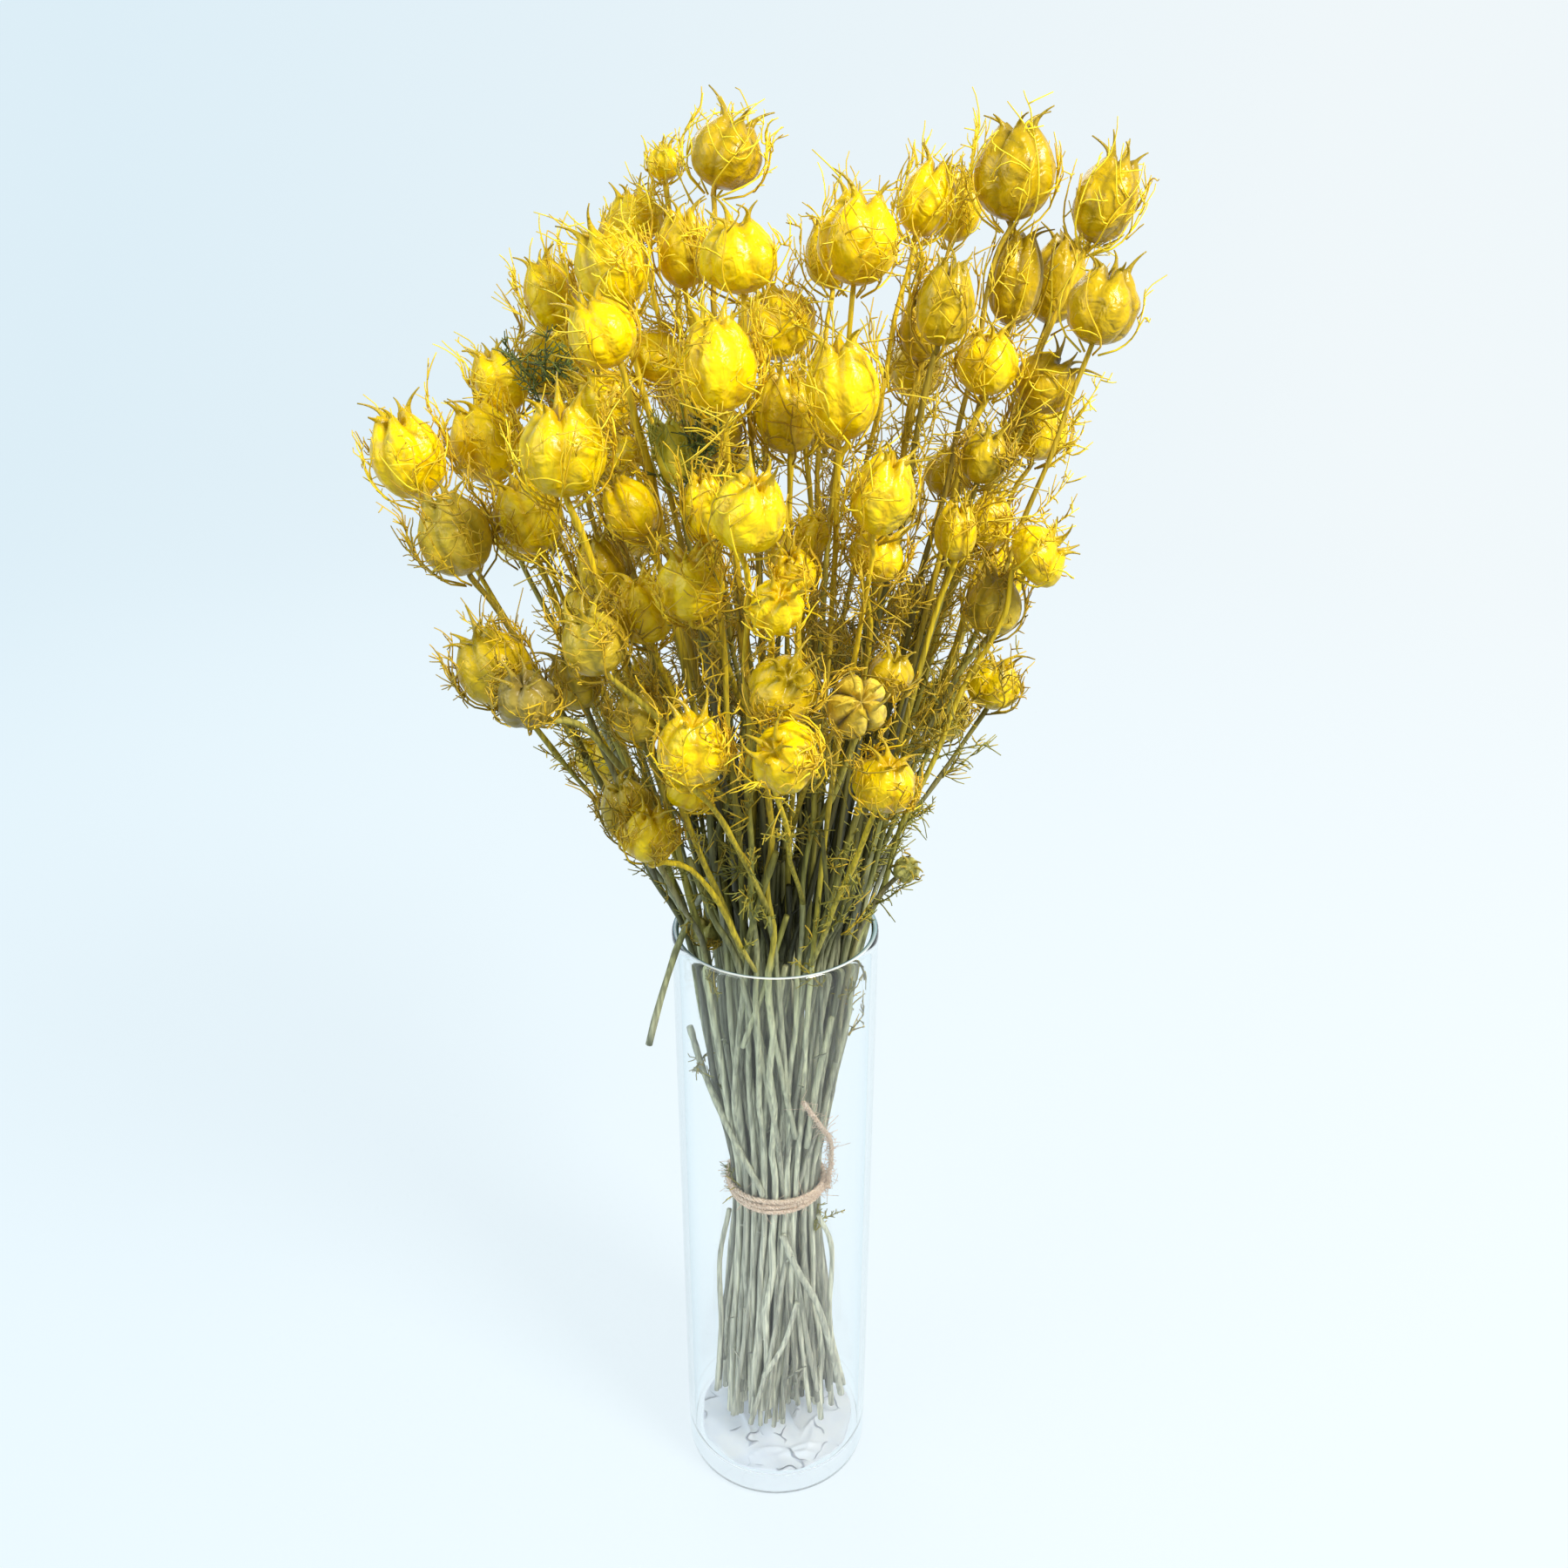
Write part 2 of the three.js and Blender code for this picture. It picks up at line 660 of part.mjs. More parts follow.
// A thin disc, creased by three crossing waves
function makePaper() {
  const surface = new Surface();
  const [wide, fine] = paper.crease;
  const crease = (x, y) => wide * Math.sin(0.22 * x + 0.1 * y) * Math.sin(0.17 * y - 0.05 * x)
    + fine * Math.sin(0.31 * (x + y));
  const lift = vase.floor + paper.lift;
  const sheet = (rise) => [1, 0.66, 0.33].map((share) => surface.ring(circle(
    [0, 0, 0], [[1, 0, 0], [0, 1, 0]], paper.radius * share, paper.sides,
  ).map(([x, y]) => [x, y, lift + rise + crease(x, y)])));
  const bottom = sheet(0);
  const top = sheet(paper.thickness);
  const apex = (rise) => surface.ring([[0, 0, lift + rise]])[0];
  surface.bridge(bottom[1], bottom[0]);
  surface.bridge(bottom[2], bottom[1]);
  surface.bridge(bottom[0], top[0]);
  surface.bridge(top[0], top[1]);
  surface.bridge(top[1], top[2]);
  surface.fan(top[2], apex(paper.thickness));
  surface.fan([...bottom[2]].reverse(), apex(0));
  return surface.solid();
}

// Three turns side by side, the knot on their right and a short tail above it
function makeTwine() {
  const { height, inner, thickness, turns, pitch, sides } = tie;
  const outer = inner + thickness;
  const start = height - (turns * pitch) / 2;
  const profile = [[inner, start + 0.5], [inner + thickness / 2, start]];
  for (let turn = 0; turn < turns; turn++) {
    profile.push([outer, start + (turn + 0.5) * pitch]);
    if (turn < turns - 1) profile.push([outer - 1, start + (turn + 1) * pitch]);
  }
  const end = start + turns * pitch;
  profile.push([inner + thickness / 2, end], [inner, end - 0.5], profile[0]);
  const ball = new THREE.SphereGeometry(1, 8, 6).scale(...knot.size).translate(...knot.middle);
  const curve = new THREE.CatmullRomCurve3(tail.line.map((point) => new THREE.Vector3(...point)));
  const section = new THREE.Shape().absarc(0, 0, tail.radius, 0, 2 * Math.PI);
  const cord = new THREE.ExtrudeGeometry(section, { steps: 9, curveSegments: 3, extrudePath: curve });
  return turned(profile, sides).add(solidOf(ball)).add(solidOf(cord));
}

function material(color, roughness, options = {}) {
  return new THREE.MeshStandardMaterial({ color, roughness, metalness: 0, ...options });
}

const bouquet = growBouquet();
const part = new THREE.Group();
part.name = 'nigella_bouquet';

function place(name, solid, look) {
  const mesh = new THREE.Mesh(geometryOf(solid), look);
  mesh.name = name;
  part.add(mesh);
}

place('vase', makeVase(), material('#e4f0f3', 0.05, { transparent: true, opacity: 0.35 }));
place('floor_paper', makePaper(), material('#d5dbe8', 0.8));
place('twine', makeTwine(), material('#d2b79a', 0.9));

const dyed = material('#f0d800', 0.4);
const mains = bouquet.stems.filter((stem) => stem.parent === stem.index);
mains.forEach((main, number) => {
  const family = bouquet.stems.filter((stem) => stem.parent === main.index);
  const solids = family.map((stem) => stemSurface(stem, chooseThreads(stem, bouquet)).solid());
  const spray = solids.reduce((joined, solid) => joined.add(solid));
  place(`spray_${String(number + 1).padStart(2, '0')}`, spray, dyed);
});

export default part;
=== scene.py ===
# Dried nigella seed pods, dyed yellow, tied with jute and standing in a glass cylinder vase
import json
import math

import bpy
import numpy as np
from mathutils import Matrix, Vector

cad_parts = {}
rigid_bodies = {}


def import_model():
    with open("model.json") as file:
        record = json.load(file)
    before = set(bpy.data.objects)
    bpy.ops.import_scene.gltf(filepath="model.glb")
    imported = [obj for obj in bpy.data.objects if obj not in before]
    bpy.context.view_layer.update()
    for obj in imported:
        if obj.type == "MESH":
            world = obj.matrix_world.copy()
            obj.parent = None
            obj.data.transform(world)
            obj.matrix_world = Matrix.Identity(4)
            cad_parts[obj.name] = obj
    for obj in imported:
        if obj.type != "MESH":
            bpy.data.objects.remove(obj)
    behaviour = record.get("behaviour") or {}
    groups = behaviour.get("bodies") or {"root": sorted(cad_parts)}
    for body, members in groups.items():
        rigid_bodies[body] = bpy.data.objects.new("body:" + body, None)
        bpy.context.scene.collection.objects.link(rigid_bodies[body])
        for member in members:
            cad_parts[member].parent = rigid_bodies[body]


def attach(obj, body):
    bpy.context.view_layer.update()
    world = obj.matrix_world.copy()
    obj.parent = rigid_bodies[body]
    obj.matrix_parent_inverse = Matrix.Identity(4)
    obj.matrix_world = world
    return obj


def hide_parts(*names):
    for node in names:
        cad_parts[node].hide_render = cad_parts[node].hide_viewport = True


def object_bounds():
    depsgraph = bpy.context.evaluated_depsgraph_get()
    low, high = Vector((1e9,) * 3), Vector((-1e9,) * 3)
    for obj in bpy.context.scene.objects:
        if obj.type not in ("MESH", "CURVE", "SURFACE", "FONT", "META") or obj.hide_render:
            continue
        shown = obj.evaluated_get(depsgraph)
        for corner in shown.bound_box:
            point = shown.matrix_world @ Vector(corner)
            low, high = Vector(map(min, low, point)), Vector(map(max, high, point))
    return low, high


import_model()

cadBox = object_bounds()
mm = 0.001


# Stage, camera and light
shot = {
    "place": (0.0038, -0.542, 0.617),  # metres, the photograph's viewpoint
    "pitch": 24.77,  # degrees below the horizon
    "lens": 33,
    "sensor": 36,
}
studio = {
    "floorRadius": 1.7,  # metres, flat part of the round sweep
    "bend": 0.9,
    "wallTop": 2.6,
    "floorRings": (0, 0.2, 0.6),
    "bendSteps": 13,
    "sides": 96,
    # Painted light: the paper is darker and bluer on the left and brighter on the right, as if lit from the
    # right
    "paperShadedLeft": "#e0f1fa",
    "paperLitRight": "#f3fafd",
    "tintFrom": (-1.2, 1.0),  # metres across, from the left colour to the right one
    "paperShade": 0.11,  # how much of other light the paper gives back
    "glow": 0.9,  # the paper's own light towards lens, glass and gloss
    "spill": 0.31,  # and what it gives matt surfaces
    "sky": "#f4fbff",
    "skyStrength": 0.4,
    # Each lamp's place and the height of its aim in metres, its size, watts and colour
    "lamps": {
        "keySoftbox": ((0.95, -0.85, 1.55), 0.42, 0.5, 43, "#fffaf0"),
        "backSoftbox": ((-0.4, 1.3, 1.25), 0.42, 1.0, 8, "#fffdf6"),
        "fillSoftbox": ((-1.1, -0.7, 1.0), 0.4, 1.0, 9.5, "#eaf5ff"),
    },
}


def hexColour(text):
    # sRGB hex to the linear values that Blender's sockets take
    parts = [int(text[i:i + 2], 16) / 255 for i in (1, 3, 5)]
    return tuple(c / 12.92 if c < 0.04045 else ((c + 0.055) / 1.055) ** 2.4 for c in parts) + (1,)


def addNode(tree, kind, links=None, stops=(), **settings):
    # Adds one node. A setting that names an input sets it, any other is the node's own
    # property, and stops are the (position, hex) pairs of a colour ramp
    node = tree.nodes.new("ShaderNode" + kind)
    for k, (place, colour) in enumerate(stops):
        if k >= len(node.color_ramp.elements):
            node.color_ramp.elements.new(place)
        node.color_ramp.elements[k].position = place
        node.color_ramp.elements[k].color = hexColour(colour)
    for key, value in settings.items():
        if hasattr(node, key) and key not in node.inputs:
            setattr(node, key, value)
        else:
            node.inputs[key].default_value = value
    for key, source in (links or {}).items():
        tree.links.new(source, node.inputs[key])
    return node


def newMaterial(name, settings):
    # A material, its nodes and its Principled shader, with constants set on the shader's sockets
    material = bpy.data.materials.new(name)
    material.use_nodes = True
    tree = material.node_tree
    shader = tree.nodes["Principled BSDF"]
    for socket, value in settings.items():
        shader.inputs[socket].default_value = value
    return material, tree, shader


def buildMesh(name, points, faces, materials, slots=None, tones=None, smooth=True):
    # points in millimetres, faces as arrays of equal-sided polygons, tones as one colour a point
    mesh = bpy.data.meshes.new(name)
    points = np.asarray(points, float) * mm
    sizes = np.concatenate([np.full(len(f), f.shape[1]) for f in faces])
    corners = np.concatenate([f.ravel() for f in faces])
    mesh.vertices.add(len(points))
    mesh.vertices.foreach_set("co", points.ravel())
    mesh.loops.add(len(corners))
    mesh.loops.foreach_set("vertex_index", corners.astype(np.int32))
    mesh.polygons.add(len(sizes))
    starts = np.concatenate([[0], np.cumsum(sizes)[:-1]])
    mesh.polygons.foreach_set("loop_start", starts.astype(np.int32))
    for material in materials:
        mesh.materials.append(material)
    if slots is not None:
        mesh.polygons.foreach_set("material_index", np.concatenate(slots).astype(np.int32))
    mesh.polygons.foreach_set("use_smooth", np.full(len(sizes), smooth))
    if tones is not None:
        layer = mesh.attributes.new("tone", "FLOAT_COLOR", "POINT")
        layer.data.foreach_set("color", np.asarray(tones, np.float32).ravel())
    mesh.update(calc_edges=True)
    piece = bpy.data.objects.new(name, mesh)
    bpy.context.scene.collection.objects.link(piece)
    return piece


def ringQuads(low, high):
    # Quads between two rings of point numbers, or between two stacks of rings
    around = [low, np.roll(low, -1, -1), np.roll(high, -1, -1), high]
    return np.stack(around, -1).reshape(-1, 4)


def turnedGrid(profile, count):
    # A profile of (radius, height) turned round Z as rings, with a pole where radius is 0
    angle = np.arange(count) * 2 * math.pi / count
    points, faces, rings = [], [], []
    for radius, height in profile:
        start = sum(len(p) for p in points)
        if radius == 0:
            points.append(np.array([[0, 0, height]]))
            rings.append(np.full(count, start))
        else:
            around = [radius * np.cos(angle), radius * np.sin(angle), np.full(count, height)]
            points.append(np.stack(around, 1))
            rings.append(start + np.arange(count))
    for low, high in zip(rings, rings[1:]):
        if low[0] == low[-1]:
            faces.append(np.stack([low, np.roll(high, -1), high], 1))
        elif high[0] == high[-1]:
            faces.append(np.stack([low, np.roll(low, -1), high], 1))
        else:
            faces.append(ringQuads(low, high))
    return np.concatenate(points), faces


def placeCamera():
    # A pinhole camera at the photograph's viewpoint, pitched down from the horizon
    data = bpy.data.cameras.new("photoCamera")
    data.lens = shot["lens"]
    data.sensor_width = shot["sensor"]
    camera = bpy.data.objects.new("photoCamera", data)
    camera.location = shot["place"]
    camera.rotation_euler = (math.radians(90 - shot["pitch"]), 0, 0)
    bpy.context.scene.collection.objects.link(camera)
    bpy.context.scene.camera = camera
    bpy.context.scene.view_settings.view_transform = "Standard"


def areaLight(name, place, aim, size, power, colour):
    # A square lamp turned so that its face looks from its place to its aim
    data = bpy.data.lights.new(name, "AREA")
    data.size = size
    data.energy = power
    data.color = hexColour(colour)[:3]
    light = bpy.data.objects.new(name, data)
    light.location = place
    direction = np.array(aim) - np.array(place)
    yaw = math.atan2(direction[1], direction[0])
    light.rotation_euler = (math.acos(-direction[2] / np.linalg.norm(direction)), 0, yaw - math.pi / 2)
    bpy.context.scene.collection.objects.link(light)


def makeStudio():
    # Seamless white paper, bent up all round, a little bluer on the left than on the right: painted light,
    # brighter on the right where the light falls
    material, tree, shader = newMaterial("seamlessPaper", {"Roughness": 0.9, "Specular IOR Level": 0.1})
    place = addNode(tree, "TexCoord").outputs["Object"]
    across = addNode(tree, "SeparateXYZ", {"Vector": place}).outputs["X"]
    left, right = studio["tintFrom"]
    share = addNode(tree, "MapRange", {"Value": across}, **{"From Min": left, "From Max": right})
    stops = [(0, studio["paperShadedLeft"]), (1, studio["paperLitRight"])]
    colour = addNode(tree, "ValToRGB", {"Fac": share.outputs["Result"]}, stops).outputs["Color"]
    shaded = addNode(tree, "VectorMath", {0: colour}, operation="SCALE", Scale=studio["paperShade"])
    tree.links.new(shaded.outputs["Vector"], shader.inputs["Base Color"])
    tree.links.new(colour, shader.inputs["Emission Color"])
    matt = addNode(tree, "LightPath").outputs["Is Diffuse Ray"]
    glow = addNode(tree, "MapRange", {"Value": matt},
                   **{"To Min": studio["glow"], "To Max": studio["spill"]})
    tree.links.new(glow.outputs["Result"], shader.inputs["Emission Strength"])
    material.cycles.emission_sampling = "NONE"
    reach, bend, top = (studio[key] * 1000 for key in ("floorRadius", "bend", "wallTop"))
    # A flat floor, a quarter circle up from it and an upright wall
    turn = np.radians(np.linspace(0, 90, studio["bendSteps"]))
    bent = [(reach + bend * math.sin(a), bend - bend * math.cos(a)) for a in turn]
    floor = [(radius * 1000, 0) for radius in studio["floorRings"]]
    points, faces = turnedGrid(floor + bent + [(reach + bend, top)], studio["sides"])
    sweep = buildMesh("studioSweep", points, faces, [material])
    world = bpy.data.worlds.new("softSky")
    world.use_nodes = True
    background = world.node_tree.nodes["Background"]
    background.inputs["Color"].default_value = hexColour(studio["sky"])
    background.inputs["Strength"].default_value = studio["skyStrength"]
    bpy.context.scene.world = world
    for name, (place, height, size, power, colour) in studio["lamps"].items():
        areaLight(name, place, (0, 0, height), size, power, colour)


placeCamera()
makeStudio()
print("studio ready")


# How the bouquet grows: the same rule as its solids, in millimetres
bouquet = {
    "levels": [20, 80, 163, 225, 300, 330, 360, 390, 420, 450, 480, 510, 540, 570, 600],
    "bundleRadius": [31, 26, 19.4, 29.5, 39.2, 52],
    "tieLevel": 2,
    "rimLevel": 4,
    "vaseHeight": 300,
    "lowRadius": 2.1,
    "rimRadius": 1.85,
    "podRadius": 1.25,
    "sideRadius": 1.3,
    "lowestEnd": 13,
    "highestEnd": 34,
    "frontLift": 0.5,
    "mainStems": 56,
    "twist": 0.35,
    "strayPod": 51,
    "strayEnd": [-54, -30, 258],
    "strayRim": [[-42.5, -24.5], [-28, -16.5]],
    "backPods": 24,
    "fan": 0.45,
    "plump": 1.1,
    "podMiddle": 0.6,
    "neck": 2.6,
    "gap": 0.35,
    "spare": 0.3,
    "tiny": 1e-6,
    "balls": [[0.44, 0.52], [0.98, 0.3]],
    "freedom": [0.7, 1, 0.4],
    "podPush": 0.3,  # shares of an overlap that one round takes away
    "ballPush": 0.5,
    "stemPush": 0.4,
    "largestSteps": (2, 3),
    "tilts": (1.02, 1.15),  # what a stem's lean adds to its width, in the vase and above it
    "pairRounds": 8,
    "lookAhead": 26,
    "rounds": 240,
    "smoothRounds": 190,
    "smoothing": 0.06,
}
# Middle across, in depth and in height, width, length, lean right and lean to the front
frontPods = [
    [-17, 30, 607, 25, 22, 20, 0],
    [-43, 60, 602, 12, 11, 0, 0],
    [-47, 58, 584, 19, 17, -10, 0],
    [-33, 18, 575, 18, 24, 0, 0],
    [-12, -12, 575, 24, 22, -5, 5],
    [-59, 5, 570, 24, 26, -20, 0],
    [-85, 30, 558, 18, 24, -12, 0],
    [-59, -32, 552, 22, 21, -25, 0],
    [-43, 12, 538, 18, 19, -60, 0],
    [2, 22, 548, 24, 22, -35, 0],
    [-18, -52, 545, 24, 28, -4, 0],
    [31, 12, 579, 27, 28, 4, 0],
    [21, 55, 570, 17, 22, -8, 0],
    [58, 42, 591, 19, 24, 14, 0],
    [74, 78, 586, 16, 23, 8, 0],
    [89, 35, 601, 26, 30, -4, 0],
    [123, 30, 592, 22, 28, 12, 0],
    [93, 42, 563, 19, 31, 0, 0],
    [115, 74, 559, 21, 30, 4, 0],
    [119, 2, 557, 24, 24, 4, 0],
    [60, -18, 560, 19, 25, 4, 0],
    [53, 38, 545, 15, 22, -6, 0],
    [78, 0, 537, 20, 20, -6, 0],
    [102, 20, 528, 21, 19, 40, 0],
    [23, -55, 537, 23, 29, -8, 0],
    [5, -18, 523, 21, 26, -4, 0],
    [-22, -12, 516, 18, 19, -25, 0],
    [-63, 8, 523, 20, 21, -25, 0],
    [-106, 30, 526, 19, 22, -12, 0],
    [-134, -15, 507, 24, 28, -4, 0],
    [-111, 12, 506, 23, 27, -10, 0],
    [-70, -60, 518, 27, 27, 4, 0],
    [-51, -42, 494, 17, 20, -28, 0],
    [-116, -32, 482, 24, 27, -8, 0],
    [-91, -18, 485, 24, 25, -12, 0],
    [-36, -34, 512, 12, 21, -8, 0],
    [-54, -12, 506, 13, 10, -50, 0],
    [-7, -95, 506, 23, 23, 12, 8],
    [-23, -62, 499, 13, 22, -4, 0],
    [37, -72, 506, 20, 24, 10, 0],
    [35, -52, 480, 18, 15, 25, 10],
    [14, -48, 486, 11, 13, 8, 0],
    [7, -70, 479, 14, 15, -14, 18],
    [0, -92, 474, 17, 16, 15, 35],
    [-28, -76, 476, 20, 21, 0, 0],
    [-47, -58, 461, 19, 22, -8, 0],
    [-63, -34, 470, 16, 21, -8, 0],
    [-61, -72, 455, 20, 20, -16, 0],
    [-103, -48, 437, 24, 25, -18, 0],
    [-86, -76, 435, 19, 18, 8, 20],
    [-75, -36, 427, 18, 20, -10, 0],
    [-2, -78, 443, 22, 17, 20, 30],
    [29, -88, 437, 19, 17, 14, 55],
    [-27, -98, 426, 21, 23, 4, 0],
    [3, -106, 430, 22, 16, -45, 35],
    [-31, -72, 398, 15, 11, 30, 25],
    [-44, -60, 420, 16, 17, -4, 0],
    [40, -76, 403, 20, 19, 8, 8],
    [-56, -52, 382, 19, 22, -8, 0],
    [-45, -74, 382, 18, 18, 12, 0],
    [53, -34, 345, 10, 9, 14, 45],
    [-32, -14, 306, 13, 10, 20, 0],
    [95, -30, 472, 21, 15, 55, 0],
    [85, 6, 477, 16, 19, 0, 0],
    [67, -28, 483, 14, 19, -4, 0],
    [76, -24, 508, 16, 17, 8, 0],
    [82, -28, 452, 19, 21, 0, 0],
    [42, -62, 439, 15, 14, 8, 0],
]


def unit(vectors):
    # Each vector divided by its length
    return vectors / np.linalg.norm(vectors, axis=-1, keepdims=True)


def dot(a, b):
    # The sum of products along the last axis
    return (a * b).sum(-1)


def seededDraw(seed):
    # The next state is the last one times a, plus c, modulo 2 to the 32, scaled into the range
    state = seed

    def draw(low, high):
        nonlocal state
        state = (state * 1664525 + 1013904223) % 4294967296
        return low + (high - low) * (state / 4294967296)
    return draw


def backPods():
    # The far side: a dome of pods in golden-angle order
    draw = seededDraw(7)
    rows = []
    for i in range(bouquet["backPods"]):
        azimuth = math.radians(12 + 156 * ((i * 0.618 + 0.3) % 1))
        height = 352 + 190 * ((i + 0.5) / bouquet["backPods"])
        dome = 66 + 50 * math.sin(math.radians(150 * ((height - 340) / 210)))
        reach = dome * draw(0.8, 1.08)
        width = draw(19, 26)
        row = [reach * math.cos(azimuth), reach * math.sin(azimuth), height, width]
        rows.append(row + [width * draw(0.9, 1.15), draw(-12, 12), draw(-12, 12)])
    return rows


def plantPods():
    # Base point, axis, width and length of every pod
    x, y, z, width, length, right, front = np.array(frontPods + backPods(), float).T
    rise = z - bouquet["levels"][bouquet["tieLevel"]]
    lean = [bouquet["fan"] * x / rise + np.tan(np.radians(right)),
            bouquet["fan"] * y / rise - np.tan(np.radians(front)), np.ones(len(x))]
    axis = unit(np.stack(lean, 1))
    base = np.stack([x, y, z], 1) - axis * (bouquet["podMiddle"] * length)[:, None]
    return {"base": base, "axis": axis, "width": width * bouquet["plump"], "length": length}


levels = np.array(bouquet["levels"] + [bouquet["levels"][-1] + 30], float)


def plantStems(pods):
    # Which stem each pod has, where it starts and ends, and from which stem it forks
    count, stray = len(pods["width"]), bouquet["strayPod"]
    offset = pods["base"] - [0, 0, levels[bouquet["tieLevel"]]]
    order = [i for i in np.argsort(np.linalg.norm(offset, axis=1), kind="stable") if i != stray]
    sides = order[:count - bouquet["mainStems"]]
    free = order[count - bouquet["mainStems"]:]
    direction = unit(offset)
    parent = np.arange(count)
    for side in sides:
        parent[side] = free.pop(int(np.argmax(direction[free] @ direction[side])))
    height = pods["base"][:, 2:]
    last = (levels[:-1] < height - 4).sum(1) - 1
    fork = np.maximum(3, (levels[:-1] < height - 70).sum(1) - 1)
    own = parent == np.arange(count)
    first = np.where(own, 0, np.minimum(fork, last - 1))
    first[stray] = bouquet["rimLevel"]
    slope = pods["axis"][:, :2] / pods["axis"][:, 2:]
    steep = np.linalg.norm(slope, axis=1, keepdims=True)
    slope = slope * np.minimum(1, 0.7 / steep)
    return {"parent": parent, "first": first, "last": last, "own": own, "slope": slope,
            "path": np.zeros((count, len(levels), 2))}


def layAbove(stems, pods, i, start, point, startSlope):
    # A cubic from the given point and slope to the pod's base and slope
    base, rise = pods["base"][i], pods["base"][i, 2] - levels[start]
    path = stems["path"][i]
    path[start] = point
    steps = np.arange(start + 1, stems["last"][i] + 1)
    t = ((levels[steps] - levels[start]) / rise)[:, None]
    path[steps] = (point * (2 * t**3 - 3 * t**2 + 1) + startSlope * rise * (t**3 - 2 * t**2 + t)
                   + base[:2] * (3 * t**2 - 2 * t**3) + stems["slope"][i] * rise * (t**3 - t**2))


def layStems(stems, pods):
    # In the vase the square root of a stem's rank spreads it over the bundle, and it twists
    # with height. Above the rim a cubic leads to its pod, and a side stem leaves its parent so
    base, rim, stray = pods["base"], bouquet["rimLevel"], bouquet["strayPod"]
    mains = [i for i in range(len(base)) if stems["own"][i] and i != stray]
    spread = np.hypot(base[:, 0], base[:, 1]) / (base[:, 2] - levels[bouquet["tieLevel"]])
    ranked = sorted(mains, key=lambda i: spread[i])
    below = np.arange(rim + 1)
    radius = np.array(bouquet["bundleRadius"][:rim + 1], float)
    for rank, i in enumerate(ranked):
        azimuth = math.atan2(base[i, 1], base[i, 0])
        height = bouquet["vaseHeight"]
        turned = azimuth + bouquet["twist"] * (levels[below] - height) / height
        reach = radius * math.sqrt((rank + 0.5) / len(ranked))
        stems["path"][i, below] = reach[:, None] * np.stack([np.cos(turned), np.sin(turned)], 1)
        top, under = stems["path"][i, rim].copy(), stems["path"][i, rim - 1]
        layAbove(stems, pods, i, rim, top, (top - under) / (levels[rim] - levels[rim - 1]))
    outer, inner = np.array(bouquet["strayRim"], float)
    layAbove(stems, pods, stray, rim + 1, inner, (inner - outer) / 30)
    stems["path"][stray, rim] = outer
    for i in np.flatnonzero(~stems["own"]):
        start, path = stems["first"][i], stems["path"][stems["parent"][i]]
        rise = levels[start] - levels[start - 1]
        layAbove(stems, pods, i, start, path[start].copy(), (path[start] - path[start - 1]) / rise)


def closePaths(stems, pods):
    # One more point past each pod's base, along the pod's own slope
    top = levels[stems["last"] + 1] - pods["base"][:, 2]
    rows = np.arange(len(top))
    stems["path"][rows, stems["last"] + 1] = pods["base"][:, :2] + stems["slope"] * top[:, None]


def stemWidths(stems):
    # Radius of every stem at every level
    step = np.arange(len(levels))
    t = (step - bouquet["rimLevel"]) / np.maximum(1, stems["last"] + 1 - bouquet["rimLevel"])[:, None]
    upper = bouquet["rimRadius"] + (bouquet["podRadius"] - bouquet["rimRadius"]) * t
    own = np.where(step < bouquet["rimLevel"], bouquet["lowRadius"], upper)
    return np.where(stems["own"][:, None], own, bouquet["sideRadius"])


def podBalls(pods):
    # Two balls a pod stand for it in the tests for distance
    height, size = np.array(bouquet["balls"]).T
    along = (height * pods["length"][:, None])[..., None]
    centre = pods["base"][:, None] + pods["axis"][:, None] * along
    return centre, size * pods["width"][:, None] + bouquet["gap"]


def separatePods(centre, radius):
    # Each two balls of different pods that overlap push both pods apart by a share of it
    flat, size = centre.reshape(-1, 3), radius.ravel()
    owner = np.arange(len(size)) // radius.shape[1]
    apart = flat[:, None] - flat
    away = np.linalg.norm(apart, axis=-1)
    overlap = size[:, None] + size + 2 * bouquet["gap"] - away
    overlap = np.where((owner[:, None] != owner) & (overlap > 0), overlap, 0)
    push = apart * (overlap * bouquet["podPush"] / np.maximum(away, bouquet["tiny"]))[..., None]
    return push.sum(1).reshape(radius.shape + (3,)).sum(1)


def nearPairs(stems, centre, radius):
    # Runs of stem and balls of other pods that may come close within the next few rounds
    stem, level = np.nonzero(stems["runs"])
    away = runToBall(stems, centre.reshape(1, -1, 3), stem[:, None], level[:, None])[0]
    ball = np.arange(radius.size) // radius.shape[1]
    near = np.linalg.norm(away, axis=-1) < radius.ravel() + bouquet["lookAhead"]
    run, ball = np.nonzero(near & (ball != stem[:, None]))
    return stem[run], level[run], ball


def runToBall(stems, centre, stem, level):
    # The way from the ball's centre to the nearest point of each run, and that point's share
    path = stems["path"]
    low = np.concatenate([path[stem, level], levels[level][..., None]], -1)
    along = np.concatenate([path[stem, level + 1], levels[level + 1][..., None]], -1) - low
    offset = centre - low
    t = np.clip(dot(offset, along) / dot(along, along), 0, 1)
    return along * t[..., None] - offset, t


def clearPods(stems, widths, centre, radius, pairs, podShift, stemShift):
    # Pushes apart each run of stem and each ball of another pod that it comes too near
    stem, level, ball = pairs
    away, t = runToBall(stems, centre.reshape(-1, 3)[ball], stem, level)
    near = radius.ravel()[ball] + widths[stem, level] + 2 * bouquet["gap"]
    overlap = np.maximum(0, near - np.linalg.norm(away, axis=-1))
    push = unit(away[:, :2] + [bouquet["tiny"], 0]) * (overlap * bouquet["ballPush"])[:, None]
    np.add.at(stemShift, (stem, level), push * (1 - t)[:, None])
    np.add.at(stemShift, (stem, level + 1), push * t[:, None])
    np.add.at(podShift[:, :2], ball // radius.shape[1], -bouquet["podPush"] * push)


